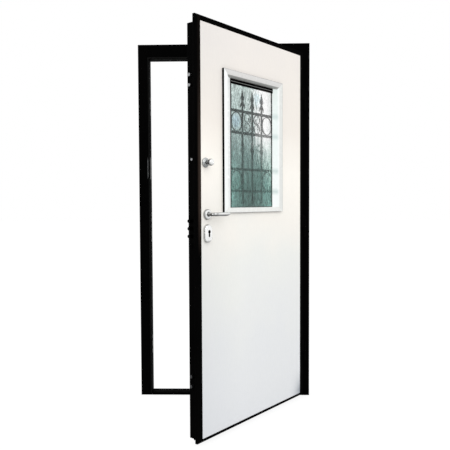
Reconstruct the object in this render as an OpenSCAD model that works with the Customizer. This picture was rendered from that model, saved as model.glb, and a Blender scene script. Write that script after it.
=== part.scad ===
// Armoured steel entrance door with a glazed and grilled window, standing open in its steel frame.
// Millimetres. +Z is up, -Y is the room side the leaf opens to, +X is the hinge side.
// The origin is the middle of the frame's footprint on the floor.

/* [Frame] */
// Outer width of the frame
frame_w = 1000; // [940:10:1200]
// Outer height of the frame
frame_h = 2070; // [2000:10:2300]
// Depth of the frame, front face to back face
frame_d = 70; // [64:1:110]
// Width of each jamb seen from the front
jamb_w = 64; // [54:1:80]
// Height of the head seen from the front
head_h = 82; // [60:1:120]
// Height of the threshold bar
sill_h = 15; // [12:1:22]
// Sheet thickness of jambs and head
tube_wall = 2.5; // [1.5:0.5:4]
// Radius of the wall anchor holes in the jambs
anchor_r = 5.5; // [4:0.5:7]

/* [Leaf] */
// Opening angle of the leaf as drawn
open_angle = 51; // [0:1:100]
// Free gap between the leaf body and the frame
edge_gap = 5; // [4:0.5:8]
// How far the lip stands out past the body at the sides
lip_over = 25; // [20:1:30]
// Thickness of the lip
lip_t = 14; // [10:1:20]
// Width of the black border of the lip at the hinge side
lip_border = 32; // [30:1:40]
// Width of the black border of the lip at the lock side
lock_border = 38; // [30:1:44]
// Thickness of the leaf body behind the lip
body_t = 57; // [48:1:60]
// Gap for the seal between the frame and the lip
lip_stand = 3; // [2.8:0.1:4]
// Gap from the threshold to the underside of the leaf body
bottom_gap = 10; // [6:1:14]
// How far the lip stands up past the body at the top
lip_rise = 27; // [20:1:28]
// How far the lip hangs below the body
lip_fall = 7; // [1:0.5:9]
// Height of the black border along the top of the panel
top_border = 25; // [12:1:30]
// Height of the black border along the bottom of the panel
bottom_border = 14; // [12:1:18]

/* [Window] */
// Outer width of the window casing
win_w = 494; // [440:2:520]
// Outer height of the window casing
win_h = 696; // [600:2:760]
// Distance from the leaf's top edge down to the casing
win_drop = 215; // [150:1:300]
// Sideways position of the casing's middle on the closed leaf
win_x = -17; // [-40:1:40]
// Sideways position of the grille's middle on the closed leaf
grille_x = 0; // [-20:1:20]
// How far the casing stands out from the leaf
casing_proud = 12; // [8:1:18]
// Depth of the flared reveal from the casing's face to the glass seat
reveal_d = 21; // [18:1:24]
// Width of the flared sides
flare_side = 41; // [30:1:46]
// Thickness of the glass
glass_t = 6; // [4:1:8]
// Radius of the upright grille bars
bar_r = 5; // [4:0.5:5.5]
// Spacing of the inner grille bars
bar_pitch = 81; // [74:1:84]
// Room for the spearheads between the first rail and the top of the opening
spear_room = 148; // [140:1:170]
// Height of the upper ring panel, from rail to rail
upper_panel_h = 109; // [100:1:116]
// Height of the lower ring panel, from rail to rail
lower_panel_h = 111; // [100:1:116]
// Height of the last rail above the bottom of the opening
foot_room = 82; // [75:1:110]
// How far the inner bars hang below the last rail
bar_foot = 50; // [40:1:56]

/* [Lock and handles] */
// Distance of the handle axis from the lock edge of the body
backset = 51; // [44:1:52]
// Distance of the thumb-turn axis from the lock edge of the body
turn_backset = 41; // [38:1:46]
// Height of the lever axis above the cylinder's axis
lever_up = 82; // [72:1:92]
// Length of the lever from its axis to its tip
lever_len = 119; // [100:1:130]
// Distance of the lever's middle from the panel
lever_stand = 50; // [40:1:58]
// Height of the lock cylinder's axis above the middle of the leaf
cyl_up = 8; // [-40:1:40]
// Height of the thumb-turn axis above the lever axis
knob_up = 242; // [200:1:280]
// Radius of the main lock bolts
bolt_r = 8.5; // [7:0.5:9]
// Radius of the upper and lower bolts
side_bolt_r = 7.75; // [6.5:0.25:8.5]
// Throw of the lock bolts
bolt_throw = 22; // [16:1:24]
// How far the thinner upper and lower bolts stand out when locked
side_throw = 14; // [10:1:20]
// Spacing of the three main bolts
main_pitch = 35.5; // [30:0.5:40]
// Spacing of the paired upper and lower bolts
side_pitch = 47; // [40:1:60]
// Distance from the top of the leaf body to the upper bolts
upper_drop = 242; // [180:1:300]
// Distance from the bottom of the leaf body to the lower bolts
lower_rise = 255; // [180:1:300]

/* [Hinges] */
// Radius of the hinge barrels
hinge_r = 10; // [8:0.5:11]
// Radius of the hinge pins
pin_r = 6; // [4:0.5:7]
// Height of one hinge knuckle
knuckle_h = 58; // [40:1:70]
// Distance of the outer hinges from the ends of the leaf body
hinge_end = 190; // [150:1:260]
// Distance of the hinge axis outside the lip
hinge_out = 12; // [11:0.5:14]

/* [Hidden] */
$fn = 64;
eps = 0.5;
fit_gap = 0.3;
run_gap = 0.05;

open_half = frame_w / 2 - jamb_w;
open_top = frame_h - head_h;
body_half = open_half - edge_gap;
lip_half = body_half + lip_over;
body_top = open_top - edge_gap;
body_bot = sill_h + bottom_gap;
mid_z = (body_bot + body_top) / 2;
lip_top = body_top + lip_rise;
lip_bot = body_bot - lip_fall;
panel_x0 = lock_border - lip_half;
panel_x1 = lip_half - lip_border;
panel_top = lip_top - top_border;
panel_bot = lip_bot + bottom_border;

fy = -frame_d / 2;
by = frame_d / 2;
lip_back = fy - lip_stand;
lip_front = lip_back - lip_t;
body_back = lip_back + body_t;
sheet_t = 2;
edge_t = 3;
rear_t = 6;
panel_t = lip_t - sheet_t;
rear_wall = body_back - rear_t - sheet_t;
flange_w = 26;

hx = lip_half + hinge_out;
hy = lip_front;
hinge_z = [body_bot + hinge_end, mid_z - knuckle_h, body_top - hinge_end - 2 * knuckle_h];
hinge_gap = 2;
pin_fit = 0.02;
leaf_plate_t = 5;
leaf_plate_w = 26;
frame_plate_t = 4;
plate_over = 10;
web_half = 5;

wx0 = win_x - win_w / 2;
wx1 = win_x + win_w / 2;
wz1 = lip_top - win_drop;
wz0 = wz1 - win_h;
liner_t = 6;
rim_t = 2;
face_side = 28.5;
face_top = 25.5;
face_bot = 22.5;
draft_top = 11;
draft_bot = 3;
cf = lip_front - casing_proud;
cb = cf + reveal_d;
see_half = win_w / 2 - face_side - flare_side;
see_z0 = wz0 + face_bot + draft_bot;
see_z1 = wz1 - face_top - draft_top;
seal_t = 1;
seal_in = 2;
over_bar_h = 23.5;
over_bar_t = 5;
groove_z = 10.5;
groove_w = 2.5;
glass_y0 = cb + seal_t;
glass_y1 = glass_y0 + glass_t;
rail_d = 2 * bar_r + 4;
rail_h = 12;
gy = glass_y1 + 1.5 + rail_d / 2;
rail_z = [see_z1 - spear_room, see_z1 - spear_room - upper_panel_h, see_z0 + foot_room + lower_panel_h,
    see_z0 + foot_room];
side_x = see_half - 1;
bar_low = rail_z[3] - bar_foot;
bar_top = rail_z[0] + rail_h / 2 + 8;
bar_hole = bar_r + 0.2;
orn_half = 4;
ring_t = 5;
scroll_t = 5;
scroll_dot = 4.8;
knop_h = 60;
knop_place = 0.65;
knop_half = rail_d / 2 + 0.8;
ball_r = rail_d / 2 + 1;
spear_h = 98;
blade_h = 62;
blade_w = 28;
collar_r = 7;
leaf_h = 29;
leaf_w = 9;
leaf_turn = 27;
rear_case_y = gy + rail_d / 2 + 0.5;
rear_over = 5;
rear_half = see_half + rear_over;
// How far the sides of the outer casing's opening spread towards the street.
rear_flare = 28;
seat_w = 10;
seat_side = 28;
trim_w = 14;
trim_t = 7;

lock_x = -body_half;
spx = lock_x + backset;
turn_x = lock_x + turn_backset;
case_half = 13;
case_back = 1;
case_wall = 1.5;
bolt_y = rear_wall - case_back - case_half;
cyl_z = mid_z + cyl_up;
lever_z = cyl_z + lever_up;
knob_z = lever_z + knob_up;
main_below = 20;
main_z = [for (i = [0:2]) cyl_z - main_below + i * main_pitch];
upper_z = [body_top - upper_drop - side_pitch, body_top - upper_drop];
lower_z = [body_bot + lower_rise, body_bot + lower_rise + side_pitch];
limit_up = 15;
limit_z = knob_z + limit_up;
limit_r = 6.5;
limit_len = 34;
limit_case_x = 9;
limit_case_down = 28;
limit_case_up = 22;
latch_below = 67;
latch_z = cyl_z - latch_below;
latch_out = 12;
latch_h = 16;
latch_t = 12;
latch_tail = 31;
case_x0 = lock_x + edge_t + eps;
case_below = 87;
case_above = 31;
case_reach = 30;
side_reach = 24;
side_end = 36;
main_c0 = cyl_z - case_below;
main_c1 = lever_z + case_above;
main_cx = spx + case_reach;
side_cx = spx + side_reach;
side_ch = side_pitch + 2 * side_end;
upper_c0 = upper_z[0] - side_end;
lower_c1 = lower_z[1] + side_end;
fore_over = 20;
fore_half = 12;
fore_z0 = main_c0 - fore_over;
fore_z1 = main_c1 + fore_over;
tail_in = 11;
tail_t = 3;
tail_half = 7;
rod_off = 12;
rod_x = spx + rod_off;
rod_w = 10;
rod_half = 2;
rod_in = 6;
keep_t = 1.5;
keep_half = 14;
keep_end = 30;
keep_clear = 1.5;
jamb_clear = 2.5;
screw_in = 9;
screw_head_r = 3.2;
screw_r = 1.8;
screw_len = 6;
sleeve_wall = 4;
anchor_low = 200;
anchor_span = 600;
anchor_top = 220;
anchor_top_span = 650;
anchor_in = 15;
anchor_z = [anchor_low, anchor_low + anchor_span, frame_h - anchor_top - anchor_top_span,
    frame_h - anchor_top];
anchor_y = by - anchor_in;
handle_clear = 3;
cut_half = 12;
cut_up = 12;
cut_down = 28;
cyl_r = 8.5;
cyl_web = 5;
cyl_drop = 19.5;
plug_r = 6.5;
key_half = 1.3;
key_up = 4.5;
key_deep = 6;
esc_w = 50;
esc_h = 86;
esc_t = 16;
esc_edge = 5;
street_esc_w = 52;
street_esc_h = 92;
street_esc_t = 12;
esc_down = 7.5;
rose_r = 24.5;
rose_t = 13;
rose_edge = 5;
lever_neck_r = 8;
lever_half = 6;
lever_w = 19;
lever_tip_w = 13;
lever_tip = 24;
spindle_r = 5;
knob_r = 16.5;
knob_len = 46;
knob_head = 20;
knob_neck_r = 7;
knob_rose_r = 23;
knob_rose_t = 11;
knob_spindle_r = 4;
pull_r = 30.5;
pull_len = 66;
pull_head = 24;
pull_neck_r = 11;
pull_rose_r = 27;
pull_rose_t = 8;
pull_below = 90;
rose_fit = 0.06;
clear_gap = 0.4;
drop_in = 6;
drop_half = 2;
drop_gap = 0.6;
stiff_half = 18;
stiff_t = 2;
stiff_pitch = 150;

black = [0.05, 0.05, 0.055];
white = [0.93, 0.92, 0.9];
steel = [0.72, 0.73, 0.74];
rubber = [0.1, 0.1, 0.1];
iron = [0.16, 0.18, 0.17];

// A block given by its two ends along each axis.
module bx(x0, x1, y0, y1, z0, z1)
{
    translate([x0, y0, z0])
        cube([x1 - x0, y1 - y0, z1 - z0]);
}

// A round bar along X.
module rod_along_x(x0, x1, y, z, r)
{
    translate([x0, y, z])
        rotate([0, 90, 0])
            cylinder(r = r, h = x1 - x0);
}

// A round bar along Y.
module rod_along_y(x, z, y0, y1, r)
{
    translate([x, y0, z])
        rotate([-90, 0, 0])
            cylinder(r = r, h = y1 - y0);
}

// A flat shape drawn in X and Z, given thickness along Y.
module flat_y(y0, y1)
{
    translate([0, y1, 0])
        rotate([90, 0, 0])
            linear_extrude(y1 - y0)
                children();
}

// A turned shape whose axis runs along -Y from the given point.
module turned_front(x, y, z)
{
    translate([x, y, z])
        rotate([90, 0, 0])
            rotate_extrude()
                children();
}

// A turned shape whose axis runs along +Y from the given point.
module turned_back(x, y, z)
{
    translate([x, y, z])
        rotate([-90, 0, 0])
            rotate_extrude()
                children();
}

// A rectangular ring in X and Z with thickness along Y.
module ring(x0, x1, z0, z1, ix0, ix1, iz0, iz1, y0, y1)
{
    difference()
    {
        bx(x0, x1, y0, y1, z0, z1);
        bx(ix0, ix1, y0 - 1, y1 + 1, iz0, iz1);
    }
}

// Places a leaf piece, drawn in the closed position, at the drawn opening angle.
module on_leaf()
{
    translate([hx, hy, 0])
        rotate([0, 0, open_angle])
            translate([-hx, -hy, 0])
                children();
}

// The hole for the window through a leaf layer.
module window_cut(y0, y1)
{
    bx(wx0 - eps, wx1 + eps, y0 - 1, y1 + 1, wz0 - eps, wz1 + eps);
}

// The profile of the lock cylinder, grown by a gap.
module cylinder_profile(gap)
{
    translate([spx, cyl_z])
        circle(r = cyl_r + gap);
    translate([spx - cyl_web - gap, cyl_z - cyl_drop])
        square([2 * (cyl_web + gap), cyl_drop]);
    translate([spx, cyl_z - cyl_drop])
        circle(r = cyl_web + gap);
}

// A jamb tube with anchor sleeves. Side is -1 for the lock jamb and 1 for the hinge jamb.
module jamb(side)
{
    x_out = side * frame_w / 2;
    x_in = side * open_half;
    x0 = min(x_out, x_in);
    x1 = max(x_out, x_in);
    difference()
    {
        union()
        {
            difference()
            {
                bx(x0, x1, fy, by, 0, frame_h);
                bx(x0 + tube_wall, x1 - tube_wall, fy + tube_wall, by - tube_wall, -1, frame_h - tube_wall);
            }
            for (z = anchor_z)
                rod_along_x(x0 + 1, x1 - 1, anchor_y, z, anchor_r + sleeve_wall);
        }
        for (z = anchor_z)
            rod_along_x(x0 - 1, x1 + 1, anchor_y, z, anchor_r);
        if (side < 0)
            jamb_bolt_holes();
    }
}

// A square opening that the latch passes through, grown by a gap.
module latch_cut(x0, x1, gap)
{
    t = latch_t / 2 + gap;
    h = latch_h / 2 + gap;
    bx(x0, x1, bolt_y - t, bolt_y + t, latch_z - h, latch_z + h);
}

// The openings in the lock jamb that take the bolts, the latch and the keep screws.
module jamb_bolt_holes()
{
    x0 = -open_half - tube_wall - 1;
    x1 = -open_half + 1;
    for (z = main_z)
        rod_along_x(x0, x1, bolt_y, z, bolt_r + jamb_clear);
    for (z = concat(upper_z, lower_z))
        rod_along_x(x0, x1, bolt_y, z, side_bolt_r + jamb_clear);
    rod_along_x(x0, x1, bolt_y, limit_z, limit_r + jamb_clear);
    latch_cut(x0, x1, jamb_clear);
    for (z = keep_screw_z)
        rod_along_x(x0, x1, bolt_y, z, screw_r + fit_gap);
}

limit_keep_half = 63;
limit_flange = 12;
main_keep_z = [latch_z - keep_end, main_z[2] + keep_end];
upper_keep_z = [upper_z[0] - keep_end, upper_z[1] + keep_end];
lower_keep_z = [lower_z[0] - keep_end, lower_z[1] + keep_end];
limiter_keep_z = [limit_z - limit_keep_half, limit_z + limit_keep_half];
keep_screw_z = [for (k = [main_keep_z, upper_keep_z, lower_keep_z, limiter_keep_z])
    each [k[0] + screw_in, k[1] - screw_in]];

module lock_jamb()
{
    color(black)
        jamb(-1);
}

module hinge_jamb()
{
    color(black)
        jamb(1);
}

module frame_head()
{
    color(black)
        difference()
        {
            bx(-open_half, open_half, fy, by, open_top, frame_h);
            bx(-open_half - 1, open_half + 1, fy + tube_wall, by - tube_wall,
                open_top + tube_wall, frame_h - tube_wall);
        }
}

module threshold()
{
    color(black)
        difference()
        {
            bx(-open_half, open_half, fy, by, 0, sill_h);
            for (y = [fy + 10, fy + 16, by - 18, by - 12])
                bx(-open_half - 1, open_half + 1, y, y + 2, sill_h - 1.2, sill_h + 1);
        }
}

module frame_gasket()
{
    g0 = 2;
    g1 = 8;
    y0 = fy - lip_stand + 0.4;
    color(rubber)
        difference()
        {
            union()
            {
                bx(-open_half - g1, -open_half - g0, y0, fy, 10, open_top + g1);
                bx(open_half + g0, open_half + g1, y0, fy, 10, open_top + g1);
                bx(-open_half - g1, open_half + g1, y0, fy, open_top + g0, open_top + g1);
            }
            bx(-open_half - 20, -open_half + 1, y0 - 1, fy + 1, limiter_keep_z[0] - 1,
                limiter_keep_z[1] + 1);
        }
}

// A keep plate on the inner face of the lock jamb, with its screw holes.
module keep_plate(zr)
{
    difference()
    {
        bx(-open_half, -open_half + keep_t, bolt_y - keep_half, bolt_y + keep_half, zr[0], zr[1]);
        for (z = [zr[0] + screw_in, zr[1] - screw_in])
            rod_along_x(-open_half - 1, -open_half + keep_t + 1, bolt_y, z, screw_head_r + fit_gap);
    }
}

module main_keep()
{
    color(iron)
        difference()
        {
            keep_plate(main_keep_z);
            for (z = main_z)
                rod_along_x(-open_half - 1, -open_half + keep_t + 1, bolt_y, z, bolt_r + keep_clear);
            latch_cut(-open_half - 1, -open_half + keep_t + 1, keep_clear);
        }
}

module upper_keep()
{
    color(iron)
        difference()
        {
            keep_plate(upper_keep_z);
            for (z = upper_z)
                rod_along_x(-open_half - 1, -open_half + keep_t + 1, bolt_y, z, side_bolt_r + keep_clear);
        }
}

module lower_keep()
{
    color(iron)
        difference()
        {
            keep_plate(lower_keep_z);
            for (z = lower_z)
                rod_along_x(-open_half - 1, -open_half + keep_t + 1, bolt_y, z, side_bolt_r + keep_clear);
        }
}

// The limiter keep turns the jamb's corner, so its edge shows on the front face.
module limiter_keep()
{
    z0 = limiter_keep_z[0];
    z1 = limiter_keep_z[1];
    color(iron)
        difference()
        {
            union()
            {
                keep_plate(limiter_keep_z);
                bx(-open_half, -open_half + keep_t, fy - keep_t, bolt_y - screw_in, z0, z1);
                bx(-open_half - limit_flange, -open_half + keep_t, fy - keep_t, fy, z0, z1);
            }
            rod_along_x(-open_half - 1, -open_half + keep_t + 1, bolt_y, limit_z, limit_r + keep_clear);
        }
}

module keep_screws()
{
    color(steel)
        for (z = keep_screw_z)
        {
            rod_along_x(-open_half, -open_half + keep_t - 0.1, bolt_y, z, screw_head_r);
            rod_along_x(-open_half - tube_wall - screw_len, -open_half + 0.1, bolt_y, z, screw_r);
        }
}

module hinge_frame_halves()
{
    color(black)
        for (z = hinge_z)
            difference()
            {
                union()
                {
                    translate([hx, hy, z])
                        cylinder(r = hinge_r, h = knuckle_h);
                    bx(hx - web_half + 1, hx + web_half + 3, hy, fy, z, z + knuckle_h);
                    bx(hx - web_half - 1, frame_w / 2 - frame_plate_t, fy - frame_plate_t, fy,
                        z - plate_over, z + knuckle_h);
                }
                translate([hx, hy, z - 1])
                    cylinder(r = pin_r + pin_fit, h = knuckle_h + 2);
            }
}

module hinge_pins()
{
    color(steel)
        for (z = hinge_z)
            translate([hx, hy, z + 1])
                cylinder(r = pin_r, h = 2 * knuckle_h);
}

module hinge_washers()
{
    color(steel)
        for (z = hinge_z)
            translate([hx, hy, z + knuckle_h])
                difference()
                {
                    cylinder(r = hinge_r - eps, h = hinge_gap - fit_gap);
                    translate([0, 0, -1])
                        cylinder(r = pin_r + run_gap, h = hinge_gap + 2);
                }
}

module hinge_leaf_halves()
{
    color(black)
        on_leaf()
            for (z = hinge_z)
                difference()
                {
                    union()
                    {
                        translate([hx, hy, z + knuckle_h + hinge_gap])
                            cylinder(r = hinge_r, h = knuckle_h);
                        bx(lip_half + eps, hx, hy - web_half, hy + web_half, z + knuckle_h + hinge_gap,
                            z + 2 * knuckle_h + hinge_gap);
                        bx(lip_half - leaf_plate_w, hx, hy - leaf_plate_t, hy, z + knuckle_h + hinge_gap,
                            z + 2 * knuckle_h + hinge_gap + plate_over);
                    }
                    translate([hx, hy, z + knuckle_h])
                        cylinder(r = pin_r + run_gap, h = knuckle_h + hinge_gap + 2 * plate_over);
                }
}

// The folded steel tray of the leaf: edge walls, front flange and rear wall.
module leaf_shell()
{
    color(black)
        on_leaf()
            difference()
            {
                bx(-body_half, body_half, lip_back, body_back, body_bot, body_top);
                bx(-body_half + edge_t, body_half - edge_t, lip_back + sheet_t, rear_wall,
                    body_bot + edge_t, body_top - edge_t);
                bx(-body_half + flange_w, body_half - flange_w, lip_back - 1, lip_back + 3,
                    body_bot + flange_w, body_top - flange_w);
                bx(-body_half + edge_t, body_half - edge_t, rear_wall + sheet_t, body_back + 1,
                    body_bot + edge_t, body_top - edge_t);
                window_cut(rear_wall, rear_wall + sheet_t);
                lock_edge_holes();
                cylinder_cut(rear_wall, body_back);
            }
}

// The openings in the lock edge of the tray.
module lock_edge_holes()
{
    x0 = lock_x - 1;
    x1 = lock_x + edge_t + 1;
    bx(x0, x1, bolt_y - fore_half - 0.2, bolt_y + fore_half + 0.2, fore_z0 - 0.2, fore_z1 + 0.2);
    for (z = concat(upper_z, lower_z))
        rod_along_x(x0, x1, bolt_y, z, side_bolt_r + fit_gap);
    rod_along_x(x0, x1, bolt_y, limit_z, limit_r + fit_gap);
}

// The openings for lever, cylinder and thumb-turn through a front layer.
module handle_cuts(y0, y1)
{
    rod_along_y(spx, lever_z, y0 - 1, y1 + 1, spindle_r + handle_clear);
    rod_along_y(turn_x, knob_z, y0 - 1, y1 + 1, knob_spindle_r + handle_clear);
    cylinder_cut(y0, y1);
}

// The opening for the lock cylinder through a leaf layer.
module cylinder_cut(y0, y1)
{
    bx(spx - cut_half, spx + cut_half, y0 - 1, y1 + 1, cyl_z - cut_down, cyl_z + cut_up);
}

module inner_sheet()
{
    color(black)
        on_leaf()
            difference()
            {
                bx(panel_x0 + eps, panel_x1 - eps, lip_back - sheet_t, lip_back, panel_bot + eps,
                    panel_top - eps);
                window_cut(lip_back - sheet_t, lip_back);
                handle_cuts(lip_back - sheet_t, lip_back);
            }
}

// Upright channels that stiffen the hollow leaf below the window.
module stiffeners()
{
    y0 = lip_back + sheet_t;
    color(iron)
        on_leaf()
        {
            for (s = [-1, 0, 1])
                channel(win_x + s * stiff_pitch, y0, body_bot + edge_t, wz0 - trim_w);
        }
}

module channel(x, y0, z0, z1)
{
    difference()
    {
        bx(x - stiff_half, x + stiff_half, y0, rear_wall, z0, z1);
        bx(x - stiff_half + stiff_t, x + stiff_half - stiff_t, y0 + stiff_t, rear_wall + 1, z0 - 1, z1 + 1);
    }
}

module lock_lip()
{
    color(black)
        on_leaf()
            bx(-lip_half, panel_x0, lip_front, lip_back, lip_bot, lip_top);
}

module hinge_lip()
{
    color(black)
        on_leaf()
            bx(panel_x1, lip_half, lip_front, lip_back, lip_bot, lip_top);
}

module top_lip()
{
    color(black)
        on_leaf()
            bx(panel_x0, panel_x1, lip_front, lip_back, panel_top, lip_top);
}

module bottom_lip()
{
    color(black)
        on_leaf()
            bx(panel_x0, panel_x1, lip_front, lip_back, lip_bot, panel_bot);
}

module inner_panel()
{
    y1 = lip_front + panel_t;
    color(white)
        on_leaf()
            difference()
            {
                bx(panel_x0 + eps, panel_x1 - eps, lip_front, y1, panel_bot + eps, panel_top - eps);
                window_cut(lip_front, y1);
                handle_cuts(lip_front, y1);
            }
}

module outer_panel()
{
    y0 = rear_wall + sheet_t;
    in = edge_t + eps;
    color(white)
        on_leaf()
            difference()
            {
                bx(-body_half + in, body_half - in, y0, body_back, body_bot + in, body_top - in);
                window_cut(y0, body_back);
                cylinder_cut(y0, body_back);
            }
}

module bottom_seal()
{
    color(rubber)
        on_leaf()
            bx(-body_half + drop_in, body_half - drop_in, bolt_y - drop_half, bolt_y + drop_half,
                sill_h + drop_gap, body_bot);
}

// The black tube that lines the window opening and shows as the casing's side.
module window_liner()
{
    color(black)
        on_leaf()
            ring(wx0, wx1, wz0, wz1, wx0 + liner_t, wx1 - liner_t, wz0 + liner_t, wz1 - liner_t,
                cf + rim_t, body_back);
}

// The flared opening of the inner casing.
module flare()
{
    h0 = win_w / 2 - face_side;
    s = flare_side / reveal_d;
    b0 = wz0 + face_bot;
    t0 = wz1 - face_top;
    sb = draft_bot / reveal_d;
    st = draft_top / reveal_d;
    intersection()
    {
        translate([win_x, 0, wz0])
            linear_extrude(win_h)
                polygon([[-h0 - s, cf - 1], [h0 + s, cf - 1], [h0 - flare_side - s, cb + 1],
                    [-h0 + flare_side + s, cb + 1]]);
        translate([wx0, 0, 0])
            rotate([90, 0, 90])
                linear_extrude(win_w)
                    polygon([[cf - 1, b0 - sb], [cb + 1, b0 + draft_bot + sb],
                        [cb + 1, t0 - draft_top - st], [cf - 1, t0 + st]]);
    }
}

module inner_casing()
{
    in = liner_t + fit_gap;
    color(white)
        on_leaf()
            difference()
            {
                union()
                {
                    bx(wx0, wx1, cf, cf + rim_t, wz0, wz1);
                    bx(wx0 + in, wx1 - in, cf, cb, wz0 + in, wz1 - in);
                }
                flare();
            }
}

module outer_casing()
{
    in = liner_t + fit_gap;
    z0 = see_z0 - rear_over;
    z1 = see_z1 + rear_over;
    color(white)
        on_leaf()
            difference()
            {
                union()
                {
                    bx(wx0 - trim_w, wx1 + trim_w, body_back, body_back + trim_t, wz0 - trim_w,
                        wz1 + trim_w);
                    bx(wx0 + in, wx1 - in, rear_case_y, body_back + 1, wz0 + in, wz1 - in);
                }
                translate([grille_x, 0, z0])
                    linear_extrude(z1 - z0)
                        rear_opening();
            }
}

// Plan of the outer casing's opening, which spreads towards the street.
module rear_opening()
{
    wide = rear_half + rear_flare;
    y1 = body_back + trim_t;
    polygon([[-rear_half, rear_case_y - 1], [rear_half, rear_case_y - 1], [rear_half, rear_case_y],
        [wide, y1], [wide, y1 + 1], [-wide, y1 + 1], [-wide, y1], [-rear_half, rear_case_y]]);
}

module glass_pane()
{
    color([0.6, 0.72, 0.7])
        on_leaf()
            bx(win_x - see_half - seat_side, win_x + see_half + seat_side, glass_y0, glass_y1,
                see_z0 - seat_w, see_z1 + seat_w);
}

module glazing_gasket()
{
    x0 = win_x - see_half;
    x1 = win_x + see_half;
    color(rubber)
        on_leaf()
            ring(x0 - seat_side, x1 + seat_side, see_z0 - seat_w, see_z1 + seat_w, x0 + seal_in,
                x1 - seal_in, see_z0 + seal_in, see_z1 - seal_in, cb, glass_y0);
}

// The black double bar across the top of the glass.
module glazing_bar()
{
    x = see_half - eps;
    z1 = see_z1 - fit_gap;
    color(black)
        on_leaf()
            difference()
            {
                bx(win_x - x, win_x + x, cb - over_bar_t, cb, z1 - over_bar_h, z1);
                bx(win_x - x - 1, win_x + x + 1, cb - over_bar_t - 1, cb - over_bar_t / 2,
                    z1 - groove_z - groove_w, z1 - groove_z);
            }
}

module grille_sides()
{
    z0 = wz0 + liner_t + 0.2;
    color(iron)
        on_leaf()
            for (s = [-1, 1])
                translate([grille_x + s * side_x, gy, z0])
                    cylinder(r = bar_r, h = wz1 - liner_t - 0.2 - z0, $fn = 32);
}

module grille_bars()
{
    color(iron)
        on_leaf()
            for (s = [-1, 0, 1])
                translate([grille_x + s * bar_pitch, gy, bar_low])
                    cylinder(r = bar_r, h = bar_top - bar_low, $fn = 32);
}

module grille_rails()
{
    color(iron)
        on_leaf()
            for (z = rail_z)
                difference()
                {
                    bx(wx0 + liner_t + 0.2, wx1 - liner_t - 0.2, gy - rail_d / 2, gy + rail_d / 2,
                        z - rail_h / 2, z + rail_h / 2);
                    for (x = [-side_x, -bar_pitch, 0, bar_pitch, side_x])
                        translate([grille_x + x, gy, z - rail_h])
                            cylinder(r = bar_hole, h = 2 * rail_h, $fn = 32);
                }
}

// A pointed blade between two arcs, standing on the origin.
module blade(w, h)
{
    r = (h * h + w * w) / (4 * w);
    translate([0, h / 2])
        intersection()
        {
            translate([r - w / 2, 0])
                circle(r = r);
            translate([w / 2 - r, 0])
                circle(r = r);
        }
}

// A spearhead with a round collar and two drooping leaves.
module spear_shape()
{
    z = spear_h - blade_h;
    translate([0, z])
        blade(blade_w, blade_h);
    translate([0, z - collar_r / 2])
        circle(r = collar_r);
    translate([-bar_r, 0])
        square([2 * bar_r, z]);
    for (s = [-1, 1])
        translate([s * bar_r / 2, leaf_h - 2])
            rotate(180 + s * leaf_turn)
                blade(leaf_w, leaf_h);
}

module spearheads()
{
    color(iron)
        on_leaf()
            for (s = [-1, 0, 1])
                translate([grille_x + s * bar_pitch, 0, bar_top])
                    flat_y(gy - orn_half, gy + orn_half)
                        spear_shape();
}

// Half of the turned knop's section: two round bulbs and a collar at each end.
module knop_shape()
{
    difference()
    {
        union()
        {
            square([bar_hole + 2, knop_h]);
            translate([0, 0.35 * knop_h])
                circle(r = bar_hole + 7);
            translate([0, 0.78 * knop_h])
                circle(r = bar_hole + 4);
        }
        translate([-20, -1])
            square([20 + bar_hole, knop_h + 2]);
    }
}

// Turned knops that sit round the bars between the two middle rails.
module bar_knops()
{
    room = rail_z[1] - rail_z[2] - rail_h - knop_h;
    z0 = rail_z[2] + rail_h / 2 + knop_place * room;
    color(iron)
        on_leaf()
            for (s = [-1, 0, 1])
                translate([grille_x + s * bar_pitch, gy, z0])
                    intersection()
                    {
                        rotate_extrude($fn = 32)
                            knop_shape();
                        bx(-20, 20, -knop_half, knop_half, -1, knop_h + 1);
                    }
}

// An oval drawn from two circles and the square between them, upright or lying by its sizes.
module oval(w, h)
{
    r = min(w, h) / 2;
    for (s = [-1, 1])
        translate([s * (w / 2 - r), s * (h / 2 - r)])
            circle(r = r, $fn = 48);
    square([w > h ? w - h : w, w > h ? h : h - w], center = true);
}

module grille_rings()
{
    w = side_x - bar_pitch - 2 * bar_r - 0.6;
    color(iron)
        on_leaf()
            for (s = [-1, 1])
                for (i = [0, 2])
                    translate([grille_x + s * (side_x + bar_pitch) / 2, 0, (rail_z[i] + rail_z[i + 1]) / 2])
                        ring_oval(w, rail_z[i] - rail_z[i + 1] - rail_h - 0.6);
}

module ring_oval(w, h)
{
    flat_y(gy - orn_half, gy + orn_half)
        difference()
        {
            oval(w, h);
            oval(w - 2 * ring_t, h - 2 * ring_t);
        }
}

// Scrolls in the two middle panels: two open rings joined in an S, with round ends.
module grille_scrolls()
{
    h = rail_z[0] - rail_z[1] - rail_h - 0.6;
    color(iron)
        on_leaf()
            for (s = [-1, 1])
                translate([grille_x + s * bar_pitch / 2, 0, (rail_z[0] + rail_z[1]) / 2])
                    flat_y(gy - orn_half + eps, gy + orn_half - eps)
                        scroll_shape(h, s);
}

module scroll_shape(h, s)
{
    r = h / 4 + 1.5;
    c = h / 2 - r;
    for (k = [-1, 1])
    {
        difference()
        {
            translate([0, k * c])
                circle(r = r, $fn = 40);
            translate([0, k * c])
                circle(r = r - scroll_t, $fn = 40);
            translate([k * s > 0 ? 0 : -2 * r, k > 0 ? c - 2 * r : -c])
                square([2 * r, 2 * r]);
        }
        translate([k * s * (r - scroll_t / 2), k * c])
            circle(r = scroll_dot, $fn = 24);
    }
    square(scroll_t, center = true);
}

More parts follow.
